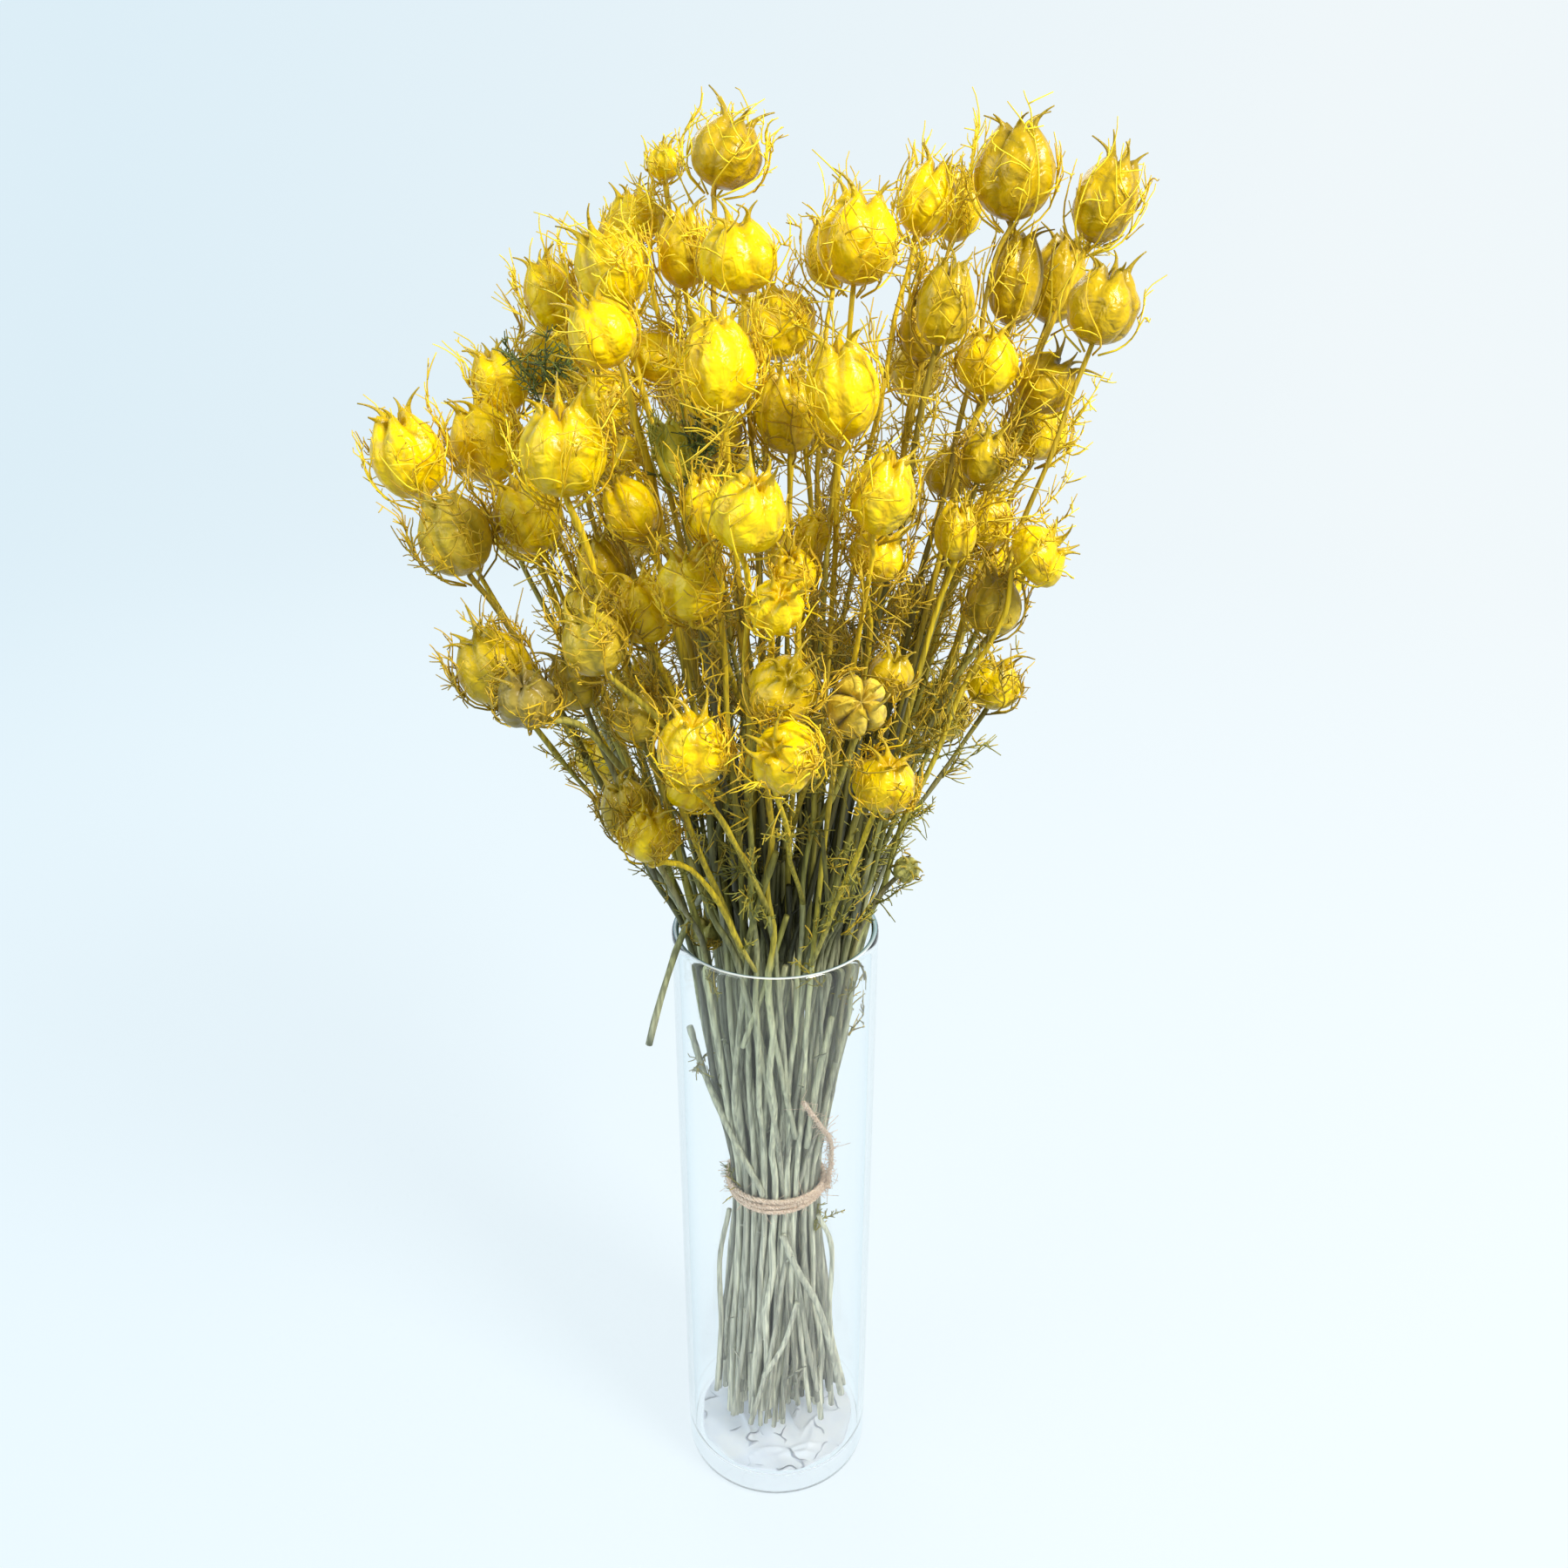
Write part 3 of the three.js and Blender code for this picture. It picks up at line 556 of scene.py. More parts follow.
def separateStems(stems, widths, stemShift):
    # Each two runs of stem at one level push apart at their nearest points, by less than
    # half the overlap each, shared between the ends of the run
    path, runs, parent = stems["path"], stems["runs"], stems["parent"]
    count = len(parent)
    strangers = (parent[:, None] != parent) & (np.arange(count)[:, None] < np.arange(count))
    for level in range(len(levels) - 1):
        a, b = np.nonzero(strangers & runs[:, level][:, None] & runs[:, level])
        low = path[a, level] - path[b, level]
        change = path[a, level + 1] - path[b, level + 1] - low
        t = np.clip(-dot(low, change) / (dot(change, change) + bouquet["tiny"]), 0, 1)[:, None]
        apart = low + change * t
        tilt = bouquet["tilts"][int(level >= bouquet["rimLevel"])]
        near = (widths[a, level] + widths[b, level] + bouquet["gap"] + bouquet["spare"]) * tilt
        overlap = np.maximum(0, near - np.linalg.norm(apart, axis=1))
        push = unit(apart + [bouquet["tiny"], 0]) * (overlap * bouquet["stemPush"])[:, None]
        np.add.at(stemShift, (a, level), push * (1 - t))
        np.add.at(stemShift, (a, level + 1), push * t)
        np.add.at(stemShift, (b, level), -push * (1 - t))
        np.add.at(stemShift, (b, level + 1), -push * t)


def applyShifts(stems, pods, podShift, stemShift, ease):
    # Moves pods and free stem points, eases each stem towards straight, and keeps the
    # bundle inside its radius at each level
    path, stray, rim = stems["path"], bouquet["strayPod"], bouquet["rimLevel"]
    podStep, stemStep = bouquet["largestSteps"]
    pods["base"] += np.clip(podShift, -podStep, podStep) * bouquet["freedom"]
    lowest = levels[stems["last"]] + bouquet["neck"] + bouquet["gap"]
    pods["base"][:, 2] = np.maximum(pods["base"][:, 2], lowest)
    step = np.arange(len(levels))
    fixed = np.where(np.arange(len(path)) == stray, 2, 0)
    free = (step >= (stems["first"] + fixed)[:, None]) & (step <= stems["last"][:, None])
    moved = path + np.clip(stemShift, -stemStep, stemStep)
    share = ((levels[1:-1] - levels[:-2]) / (levels[2:] - levels[:-2]))[:, None]
    straight = path[:, :-2] + (path[:, 2:] - path[:, :-2]) * share
    inner = (step[1:-1] > stems["first"][:, None])[..., None]
    eased = moved[:, 1:-1] * (1 - ease) + straight * ease
    moved[:, 1:-1] = np.where(inner, eased, moved[:, 1:-1])
    moved = np.where(free[..., None], moved, path)
    for level, limit in enumerate(bouquet["bundleRadius"]):
        radius = np.linalg.norm(moved[:, level], axis=1)
        if level <= rim:
            radius[stray] = 0
        moved[:, level] *= np.minimum(1, limit / np.maximum(radius, 1e-9))[:, None]
    stems["path"] = moved
    for i in np.flatnonzero(~stems["own"]):
        moved[i, stems["first"][i]] = moved[stems["parent"][i], stems["first"][i]]
    closePaths(stems, pods)


def growBouquet():
    # Lays the stems, then pushes apart what is too close, a little in each round
    pods = plantPods()
    stems = plantStems(pods)
    layStems(stems, pods)
    closePaths(stems, pods)
    step = np.arange(len(levels))
    stems["runs"] = (step >= stems["first"][:, None]) & (step <= stems["last"][:, None])
    widths = stemWidths(stems)
    for turn in range(bouquet["rounds"]):
        centre, radius = podBalls(pods)
        podShift = separatePods(centre, radius)
        stemShift = np.zeros_like(stems["path"])
        if turn % bouquet["pairRounds"] == 0:
            pairs = nearPairs(stems, centre, radius)
        clearPods(stems, widths, centre, radius, pairs, podShift, stemShift)
        separateStems(stems, widths, stemShift)
        ease = bouquet["smoothing"] if turn < bouquet["smoothRounds"] else 0
        applyShifts(stems, pods, podShift, stemShift, ease)
    return pods, stems


def stemLine(stems, i):
    # The stem's points as its solid has them
    steps = np.arange(stems["first"][i], stems["last"][i] + 1)
    line = np.concatenate([stems["path"][i, steps], levels[steps][:, None]], 1)
    if i == bouquet["strayPod"]:
        return np.concatenate([[bouquet["strayEnd"]], line])
    if stems["own"][i]:
        draw = seededDraw(int(i) * 97711 + 5)
        end = draw(bouquet["lowestEnd"], bouquet["highestEnd"]) - bouquet["frontLift"] * line[0, 1]
        end = max(bouquet["lowestEnd"], end)
        line[0] = line[1] + (line[0] - line[1]) * (levels[1] - end) / (levels[1] - levels[0])
    return line


pods, stems = growBouquet()
print("bouquet grown:", len(pods["width"]), "pods on", int(stems["own"].sum()), "stems")


# Surfaces: everything that grows is collected spray by spray
class Growth:
    # Points, faces with their material slots, and a colour a point, for one piece
    def __init__(self):
        self.points, self.faces, self.slots, self.tones, self.count = [], [], [], [], 0

    def add(self, points, faces, slot, tones):
        for face in faces:
            self.faces.append(face + self.count)
            self.slots.append(np.full(len(face), slot))
        self.points.append(points)
        self.tones.append(np.broadcast_to(tones, (len(points), 4)))
        self.count += len(points)

    def mesh(self, name, materials):
        sizes = sorted({f.shape[1] for f in self.faces})
        faces = [np.concatenate([f for f in self.faces if f.shape[1] == n]) for n in sizes]
        slots = [np.concatenate([s for f, s in zip(self.faces, self.slots) if f.shape[1] == n])
                 for n in sizes]
        tones = np.concatenate(self.tones)
        return buildMesh(name, np.concatenate(self.points), faces, materials, slots, tones)

    def triangles(self):
        return sum(len(face) * (face.shape[1] - 2) for face in self.faces)


def tubes(paths, radii, sides):
    # Closed tubes along n paths of k points, with the first side carried along without twist
    count, steps = radii.shape
    ahead = np.diff(paths, axis=1)
    tangent = unit(np.concatenate([ahead[:, :1], ahead[:, 1:] + ahead[:, :-1], ahead[:, -1:]], 1))
    across = np.cross(tangent[:, 0], [0.41, 0.87, 0.27])
    frames = []
    for step in range(steps):
        along = tangent[:, step]
        across = unit(across - dot(across, along)[:, None] * along)
        frames.append(across)
    across = np.stack(frames, 1)
    up = np.cross(tangent, across)
    angle = np.arange(sides) * 2 * math.pi / sides
    turn = across[:, :, None] * np.cos(angle)[:, None] + up[:, :, None] * np.sin(angle)[:, None]
    points = paths[:, :, None] + turn * radii[..., None, None]
    index = np.arange(count * steps * sides).reshape(count, steps, sides)
    caps = np.concatenate([index[:, 0, ::-1], index[:, -1]])
    return points.reshape(-1, 3), [ringQuads(index[:, :-1], index[:, 1:]), caps]


def smoothLine(line, steps):
    # Catmull-Rom: the curve p(t) through b and c with slopes (c - a) / 2 and (d - b) / 2
    padded = np.concatenate([[2 * line[0] - line[1]], line, [2 * line[-1] - line[-2]]])
    a, b, c, d = padded[:-3, None], padded[1:-2, None], padded[2:-1, None], padded[3:, None]
    t = (np.arange(steps) / steps)[None, :, None]
    curve = 0.5 * (2 * b + (c - a) * t + (2 * a - 5 * b + 4 * c - d) * t**2
                   + (3 * b - a - 3 * c + d) * t**3)
    return np.concatenate([curve.reshape(-1, 3), line[-1:]])


def mixTone(stops, share):
    # Linear colours between hex stops at the given shares
    places = [place for place, _ in stops]
    colours = np.array([hexColour(colour) for _, colour in stops])
    return np.stack([np.interp(share, places, colours[:, k]) for k in range(4)], -1)


# Pods: five-lobed papery balloons with grooved seams and a crown of horned beaks
podLook = {
    "columns": 50,
    "rows": 20,
    "lobes": 5,
    "seam": (0.055, 0.13),  # depth as a share of the radius, width in radians
    "midline": (0.02, 0.08),
    "ribs": (0.6, 1.3),
    "seamFoot": 0.12,  # the share of the height over which seams fade in
    "crownSeams": (0.6, 2.6),
    "fullness": 0.035,
    "crownShare": 0.42,
    "crownFrom": 0.72,
    "lift": (0.03, 0.1),
    "stretch": 1.08,
    "dent": 0.075,
    "dents": (0.4, 1.1),
    "dentWaves": (1.9, 2.6, 4.1, 6.3),
    "squash": 0.06,
    "splitDepth": 0.25,
    "hornLength": 0.3,
    "hornRadius": 0.11,
    "hornSteps": 9,
    "hornSides": 6,
    "hornTip": "#a8901c",
}
# How far each part of a pod takes another colour, and how pods differ
podPaint = {
    "seam": 0.55,
    "crown": 0.55,
    "crownFrom": 0.8,
    "foot": 0.4,
    "footTo": 0.1,
    "spread": (0.9, 1.04),
    # painted shade: how much darker a pod is at the heart of the bouquet
    "heartShade": 0.2,
}
podTones = {
    # The colours of the wall, the seam and the crown; the darker seam colour is partly the seams' own
    # colour and partly painted shade in the grooves
    "bright": ["#fedd00", "#dba600", "#b08a08"],
    "olive": ["#d9b908", "#98850c", "#786a10"],
    "golden": ["#d2b006", "#7c640c", "#66561a"],
    "lime": ["#dec232", "#958a24", "#807424"],
    "green": ["#f0e444", "#a8a832", "#8f922c"],
    "papery": ["#ab973c", "#7c6a2e", "#6d5a2a"],
    "unripe": ["#bdb964", "#54551c", "#77753a"],
    "split": ["#ffe04c", "#4a3608", "#d8b840"],
}
# Which pods of the front differ in colour, in depth of ribs and in dents, by their row
kindRows = {
    "olive": [20, 21, 26, 46, 48, 51, 65, 67],
    "lime": [33, 47, 50, 56, 58, 66],
    "golden": [0, 15, 16, 17, 18, 19, 23],
    "green": [35],
    "papery": [49],
    "split": [52],
    "unripe": [60, 61],
}
podKinds = {i: kind for kind, rows in kindRows.items() for i in rows}
ribbed = {43: 2.2, 51: 1.5, 60: 2.0, 15: 1.7, 17: 2.1, 18: 1.9, 29: 1.5, 31: 1.5, 24: 1.3, 45: 1.4}
wrinkled = {4: 1.6, 11: 1.2, 16: 1.7, 19: 1.5, 3: 1.3, 39: 1.5}


def podProfile(share):
    # Round below, widest at half height and drawn in to the crown, as shares of the half width
    low = np.maximum(0, 1 - np.abs((0.5 - np.minimum(share, 0.5)) / 0.5) ** 2.3) ** 0.5
    crown = podLook["crownShare"]
    high = 1 - (1 - crown) * (np.maximum(share - 0.5, 0) / 0.5) ** 2.1
    return np.where(share < 0.5, low, high)


def angleTo(angle, count, offset):
    # Angle to the nearest of count evenly spaced directions
    pitch = 2 * math.pi / count
    return (angle - offset + pitch / 2) % pitch - pitch / 2


def podColours(i):
    # Linear colours of the pod's wall, seam and crown
    return [np.array(hexColour(colour)) for colour in podTones[podKinds.get(i, "bright")]]


def paintPod(i, seam, high, rng):
    # The wall's colour, mixed with the seam's along seams and at the foot, and with the crown's, then
    # darkened towards the heart of the bouquet as painted shade
    wall, dark, crown = podColours(i)
    kind = podKinds.get(i, "bright")
    # Painted shade in part: along seams and grooves the colour goes towards the darker seam colour
    shade = seam[..., None] ** 1.5 * (podPaint["seam"] if kind != "split" else 1)
    tone = wall + (dark - wall) * shade
    tip = (np.clip((high - podPaint["crownFrom"]) / 0.2, 0, 1) ** 1.5 * podPaint["crown"])[..., None]
    tone = tone + (crown - tone) * tip
    foot = (np.clip(1 - high / podPaint["footTo"], 0, 1) * podPaint["foot"])[..., None]
    tone = (tone + (dark - tone) * foot) * rng.uniform(*podPaint["spread"])
    # Painted shade: every pod but a green one darker towards the heart of the bouquet
    if kind != "green":
        tone = tone * (1 - podPaint["heartShade"] * deepness(pods["base"][i]))
    return np.concatenate([tone.reshape(-1, 4), tone[:1].mean(1), tone[-1:].mean(1)])


def podShell(i, rng):
    # A pod's skin in its own frame: rows up its axis, a groove at each seam between the lobes,
    # folded sine waves as crumples, and both ends closed
    radius, length = pods["width"][i] / 2, pods["length"][i] * podLook["stretch"]
    columns, rows = podLook["columns"], podLook["rows"]
    share = (1 - np.cos(np.linspace(0, math.pi, rows + 2)[1:])) / 2
    angle = np.arange(columns) * 2 * math.pi / columns
    turn, height = np.meshgrid(angle, share)
    offset = rng.uniform(0, 2 * math.pi)
    lobes = podLook["lobes"]
    seamDepth, seamWidth = podLook["seam"]
    fade = np.clip(height / podLook["seamFoot"], 0, 1)
    rib = ribbed.get(i, rng.uniform(*podLook["ribs"]))
    crownward = 1 + rng.uniform(*podLook["crownSeams"]) * np.clip((height - 0.6) / 0.4, 0, 1) ** 1.5
    off = angleTo(turn, lobes, offset)
    seam = np.exp(-(off / seamWidth) ** 2) * fade
    midDepth, midWidth = podLook["midline"]
    midline = np.exp(-(angleTo(turn, lobes, offset + math.pi / lobes) / midWidth) ** 2) * fade
    fullness = podLook["fullness"] * np.cos(lobes * off) * fade
    groove = rib * (seamDepth * seam * crownward + midDepth * midline * rib)
    profile = podProfile(height)
    wide = profile * (1 - groove - fullness)
    direction = np.stack([np.cos(turn) * profile, np.sin(turn) * profile, 2 * height - 1], -1)
    # Dents: sharp valleys where waves in random directions peak
    dent = np.zeros_like(wide)
    for size in podLook["dentWaves"]:
        wave = rng.normal(0, size, 3)
        crumple = np.sin(direction @ wave + rng.uniform(0, 6))
        dent -= np.abs(crumple) ** 3 / size
    strength = podLook["dent"] * wrinkled.get(i, rng.uniform(*podLook["dents"]))
    wide = wide * (1 + strength * (dent + 0.5))
    # The lobes' tops rise above the seams between them
    crown = np.clip((height - podLook["crownFrom"]) / 0.28, 0, 1) ** 2
    peaks = np.cos(lobes * (off - math.pi / lobes)) - 0.2
    rise = height + rng.uniform(*podLook["lift"]) * crown * peaks
    if podKinds.get(i) == "split":
        wide = wide * (1 - podLook["splitDepth"] * seam * np.clip((height - 0.3) / 0.3, 0, 1))
    x, y = radius * wide * np.cos(turn), radius * wide * np.sin(turn)
    squash = 1 + rng.uniform(-podLook["squash"], podLook["squash"])
    points = np.stack([x * squash, y / squash, rise * length], -1)
    sink = points[-1] * [0.45, 0.45, 1] - [0, 0, 0.06 * length]
    points = np.concatenate([points, sink[None]])
    bottom, top = np.array([[0, 0, -0.4]]), np.array([[0, 0, 0.84 * length]])
    seamShare = np.concatenate([np.maximum(seam, 0.35 * midline), np.full((1, columns), 0.7)])
    tones = paintPod(i, seamShare, np.concatenate([height, np.ones((1, columns))]), rng)
    count = points.shape[0] * columns
    index = np.arange(count).reshape(-1, columns)
    ends = [np.stack([np.full(columns, count), np.roll(index[0], -1), index[0]], 1),
            np.stack([np.full(columns, count + 1), index[-1], np.roll(index[-1], -1)], 1)]
    points = np.concatenate([points.reshape(-1, 3), bottom, top])
    return points, [ringQuads(index[:-1], index[1:])] + ends, tones, offset


def podHorns(i, offset, rng):
    # Five beaks that rise from the lobes' tops, bend outward and end as dry styles
    radius, length = pods["width"][i] / 2, pods["length"][i] * podLook["stretch"]
    lobes, steps, sides = podLook["lobes"], podLook["hornSteps"], podLook["hornSides"]
    angle = offset + (np.arange(lobes) + 0.5) * 2 * math.pi / lobes + rng.normal(0, 0.08, lobes)
    t = np.linspace(0, 1, steps)
    reach = pods["width"][i] * podLook["hornLength"] * rng.uniform(0.75, 1.35, (lobes, 1))
    spread = rng.uniform(0.3, 1.1, (lobes, 1))
    outward = 0.38 * radius + reach * (0.1 * t + spread * t**2)
    upward = 0.92 * length + reach * (1.2 * t - 0.35 * spread * t**2)
    swing = angle[:, None] + rng.normal(0, 0.35, (lobes, 1)) * t**2
    paths = np.stack([outward * np.cos(swing), outward * np.sin(swing), upward], -1)
    size = podLook["hornRadius"] * pods["width"][i] * 0.55
    radii = size * (1 - t) ** 1.6 * (1 + 0.15 * np.sin(9 * t)) + 0.28
    points, faces = tubes(paths, np.broadcast_to(radii, (lobes, steps)), sides)
    wall, _, crown = podColours(i)
    share = (np.repeat(t, sides)[None] ** 0.7 * np.ones((lobes, 1))).reshape(-1, 1)
    base = wall * 0.65 + crown * 0.35
    return points, faces, base + (np.array(hexColour(podLook["hornTip"])) - base) * share


def podFrame(i):
    # Two sides square to the pod's axis, and the axis
    axis = pods["axis"][i]
    across = unit(np.cross(axis, [0.2, 1, 0.1]))
    return np.stack([across, np.cross(axis, across), axis])


# Threads: the finely cut bracts round each pod and the leaves up each stem
threadLook = {
    "thick": 0.5,  # radii in mm at the foot and the tip
    "thin": 0.23,
    "leafSpacing": 17,
    "leafLength": (20, 42),
    "leafSides": 10,
    "leafFrom": 312,
}
cageLook = {
    "fullness": (0.75, 1.15),
    "backShare": 0.8,
    "smallPod": 17,
    "smallShare": 0.65,
    "mains": 7,
    "mainSteps": 10,
    "tops": (0.7, 1.3),
    "lifts": (-0.02, 0.2),
    "sides": 8,  # for each main thread
    "sideSteps": 7,
    "sideFrom": (0.2, 0.92),
    "sideSweep": (0.08, 0.8),
    "sideClimb": (0.05, 0.65),
    "forks": 7,  # for each main thread
    "forkSteps": 5,
    "forkFrom": (0.3, 0.85),
}
# The cage's profile: radii in half widths at heights in lengths of the pod
cageHeights = [-0.2, -0.1, 0, 0.15, 0.35, 0.6, 0.85, 1.05, 1.3, 1.7]
cageWidths = [0.06, 0.38, 0.72, 0.98, 1.11, 1.14, 1.04, 0.9, 0.98, 1.3]
# How full the cage is round the bare and the well covered pods of the front, by their row
cageFullness = {
    35: 1.35, 33: 1.4, 30: 1.3, 34: 1.25, 0: 0.9, 60: 0.1, 59: 1.2, 37: 0.3, 4: 0.3, 7: 0.5,
    39: 0.45, 31: 0.7, 6: 0.8, 32: 0.55, 43: 0.5, 52: 0.5, 17: 0.25, 18: 0.3, 19: 0.25, 15: 0.7,
    16: 0.55, 23: 0.3, 62: 0.5,
}


class Threads:
    # Batches of paths with equal steps, each path with its spray, radius and colour
    def __init__(self):
        self.batches = []

    def add(self, spray, paths, thick, thin, tones):
        count, steps = paths.shape[:2]
        taper = np.linspace(0, 1, steps)
        radii = thick + (thin - thick) * np.broadcast_to(taper, (count, steps))
        self.batches.append([np.full(count, spray), paths, radii, tones])

    def joined(self):
        lengths = sorted({batch[1].shape[1] for batch in self.batches})
        for steps in lengths:
            same = [batch for batch in self.batches if batch[1].shape[1] == steps]
            yield [np.concatenate([batch[k] for batch in same]) for k in range(4)]


def cagePoints(i, frame3, angle, height, lift):
    # Points round a pod, at the cage's radius for their height plus their lift
    radius = (np.interp(height, cageHeights, cageWidths) + lift) * pods["width"][i] / 2
    local = np.stack([radius * np.cos(angle), radius * np.sin(angle), height * pods["length"][i]], -1)
    return pods["base"][i] + local @ frame3


def pickAlong(rows, share, who, at):
    # Values of the chosen rows at the given share of their length
    place = np.asarray(at) * (len(share) - 1)
    low = np.minimum(place.astype(int), len(share) - 2)
    part = place - low
    return (rows[who, low] * (1 - part) + rows[who, low + 1] * part)[:, None]


def growCage(i, spray, threads, rng):
    # Bracts that rise from under the pod, arch round it and fork into fine tips
    frame3 = podFrame(i)
    fullness = cageFullness.get(i, rng.uniform(*cageLook["fullness"]))
    if i >= len(frontPods):
        fullness *= cageLook["backShare"]
    if pods["width"][i] < cageLook["smallPod"]:
        fullness *= cageLook["smallShare"]
    mains = max(4, round(cageLook["mains"] * min(1, fullness + 0.25)))
    steps, sideSteps, forkSteps = (cageLook[key] for key in ("mainSteps", "sideSteps", "forkSteps"))
    t = np.linspace(0, 1, steps)
    start = np.arange(mains) * 2 * math.pi / mains + rng.normal(0, 0.25, mains)
    sweep, top = rng.normal(0, 0.45, mains), rng.uniform(*cageLook["tops"], mains)
    lift = rng.uniform(*cageLook["lifts"], mains)
    ripple = rng.normal(0, 0.1, (mains, 1)) * np.sin(6 * t + rng.uniform(0, 6, (mains, 1)))
    angle = start[:, None] + sweep[:, None] * t + ripple
    height = -0.14 + (top[:, None] + 0.14) * t**0.9
    lifts = lift[:, None] * t + 0.2 * np.clip(t - 0.75, 0, 1) * rng.normal(0.6, 1, (mains, 1))
    tone = threadTone(i, rng)
    thick, thin = threadLook["thick"], threadLook["thin"]
    threads.add(spray, cagePoints(i, frame3, angle, height, lifts), thick, thin, tone(mains, steps))
    # Side threads leave both ways and sweep round the pod or out past it
    count = int(mains * cageLook["sides"] * fullness)
    parent, at = rng.integers(0, mains, count), rng.uniform(*cageLook["sideFrom"], count)
    sideT = np.linspace(0, 1, sideSteps)
    way = rng.choice([-1, 1], (count, 1))
    along = rng.uniform(*cageLook["sideSweep"], (count, 1))
    curl = rng.normal(0, 0.13, (count, 1)) * np.sin(4.5 * sideT + rng.uniform(0, 3, (count, 1)))
    turn = pickAlong(angle, t, parent, at) + way * along * sideT**0.85 + (curl - curl[:, :1])
    climb = rng.uniform(*cageLook["sideClimb"], (count, 1)) * (1.15 - 0.5 * along)
    wave = rng.normal(0, 0.05, (count, 1)) * np.sin(5 * sideT)
    up = pickAlong(height, t, parent, at) + climb * sideT + wave
    out = pickAlong(lifts, t, parent, at) + rng.uniform(-0.12, 0.5, (count, 1)) ** 3 * 4.5 * sideT**1.5
    paths = cagePoints(i, frame3, turn, up, out)
    threads.add(spray, paths, thick * 0.82, thin, tone(count, sideSteps))
    # Forks near their tips
    forks = int(mains * cageLook["forks"] * fullness)
    chosen, at = rng.integers(0, count, forks), rng.uniform(*cageLook["forkFrom"], forks)
    forkT = np.linspace(0, 1, forkSteps)
    bend = rng.normal(0, 0.1, (forks, 1)) * forkT**2
    back = way[chosen] * rng.uniform(-0.15, 0.5, (forks, 1))
    forkTurn = pickAlong(turn, sideT, chosen, at) - back * forkT + bend
    forkUp = pickAlong(up, sideT, chosen, at) + rng.uniform(-0.08, 0.36, (forks, 1)) * forkT
    forkOut = pickAlong(out, sideT, chosen, at) + rng.uniform(-0.05, 0.36, (forks, 1)) * forkT**1.4
    paths = cagePoints(i, frame3, forkTurn, forkUp, forkOut)
    threads.add(spray, paths, thick * 0.7, thin, tone(forks, forkSteps))


# Colours from the darkest to the brightest, of a dyed pod's threads, a green one's and leaves
threadStops = [(0, "#8c7c1e"), (0.3, "#b5981e"), (0.6, "#dfba18"), (0.85, "#f5d612"), (1, "#ffe72e")]
greenStops = [(0, "#93a044"), (0.4, "#b6ba4a"), (0.75, "#d3cb4c"), (1, "#e8d74c")]
leafStops = [(0, "#87893a"), (0.3, "#aa9f36"), (0.6, "#d0b12a"), (0.85, "#e6c526"), (1, "#f6dc34")]
tuftStops = [(0, "#36441c"), (0.5, "#5a6a2c"), (1, "#8c9438")]
# Painted shade: what the heart of the bouquet takes away of red, green, blue and alpha
threadShade = np.array([0.3, 0.36, 0.55, 0])
leafShade = np.array([0.6, 0.68, 0.85, 0])
heart = {
    "heights": [300, 380, 480, 560, 620],
    "radii": [40, 62, 104, 112, 90],
    "openFrom": 585,
    "fade": 130,
}


def drawTones(stops, centre, spread, rng):
    # A maker of colours: each path draws one share of the stops, about the given centre
    def tones(count, steps):
        share = np.clip(rng.normal(centre, spread, (count, 1)), 0, 1)
        return mixTone(stops, share * np.ones(steps))
    return tones


def threadTone(i, rng):
    # Olive brown low in the bouquet and lemon at its top, with dry tips; green round a green pod; browner
    # and darker towards the heart as painted shade
    high = np.clip((pods["base"][i, 2] - 330) / 220, 0, 1)
    kind = podKinds.get(i, "bright")
    front = i < len(frontPods) and kind in ("bright", "golden")
    deep = 0 if kind == "green" else deepness(pods["base"][i])
    centre = 0.5 * high + (0.45 if front else 0.15) - 0.3 * deep
    stops, centre = (greenStops, 0.45) if kind == "green" else (threadStops, centre)
    fresh = drawTones(stops, centre, 0.2, rng)

    def tones(count, steps):
        colour, dry = fresh(count, steps), np.array(hexColour("#d2a840"))
        tip = np.clip(np.linspace(-0.5, 0.5, steps), 0, 1)[None, :, None] * rng.random((count, 1, 1))
        return (colour + (dry - colour) * tip) * (1 - deep * threadShade)
    return tones


def deepness(point):
    # 1 at the heart of the bouquet, 0 at its outside and at its open top; it masks the painted shade of
    # pods, threads, leaves and stems, and sets leaf lengths
    outside = np.interp(point[2], heart["heights"], heart["radii"])
    covered = np.clip((heart["openFrom"] - point[2]) / heart["fade"], 0, 1)
    return covered * max(0, 1 - math.hypot(point[0], point[1]) / outside)


def leafTone(point, rng):
    # Green-grey low, golden high, and browner and darker towards the heart as painted shade
    deep = deepness(point)
    fresh = drawTones(leafStops, (point[2] - 330) / 170 + 0.1 * (1 - deep), 0.22, rng)
    return lambda count, steps: fresh(count, steps) * (1 - deep * leafShade)


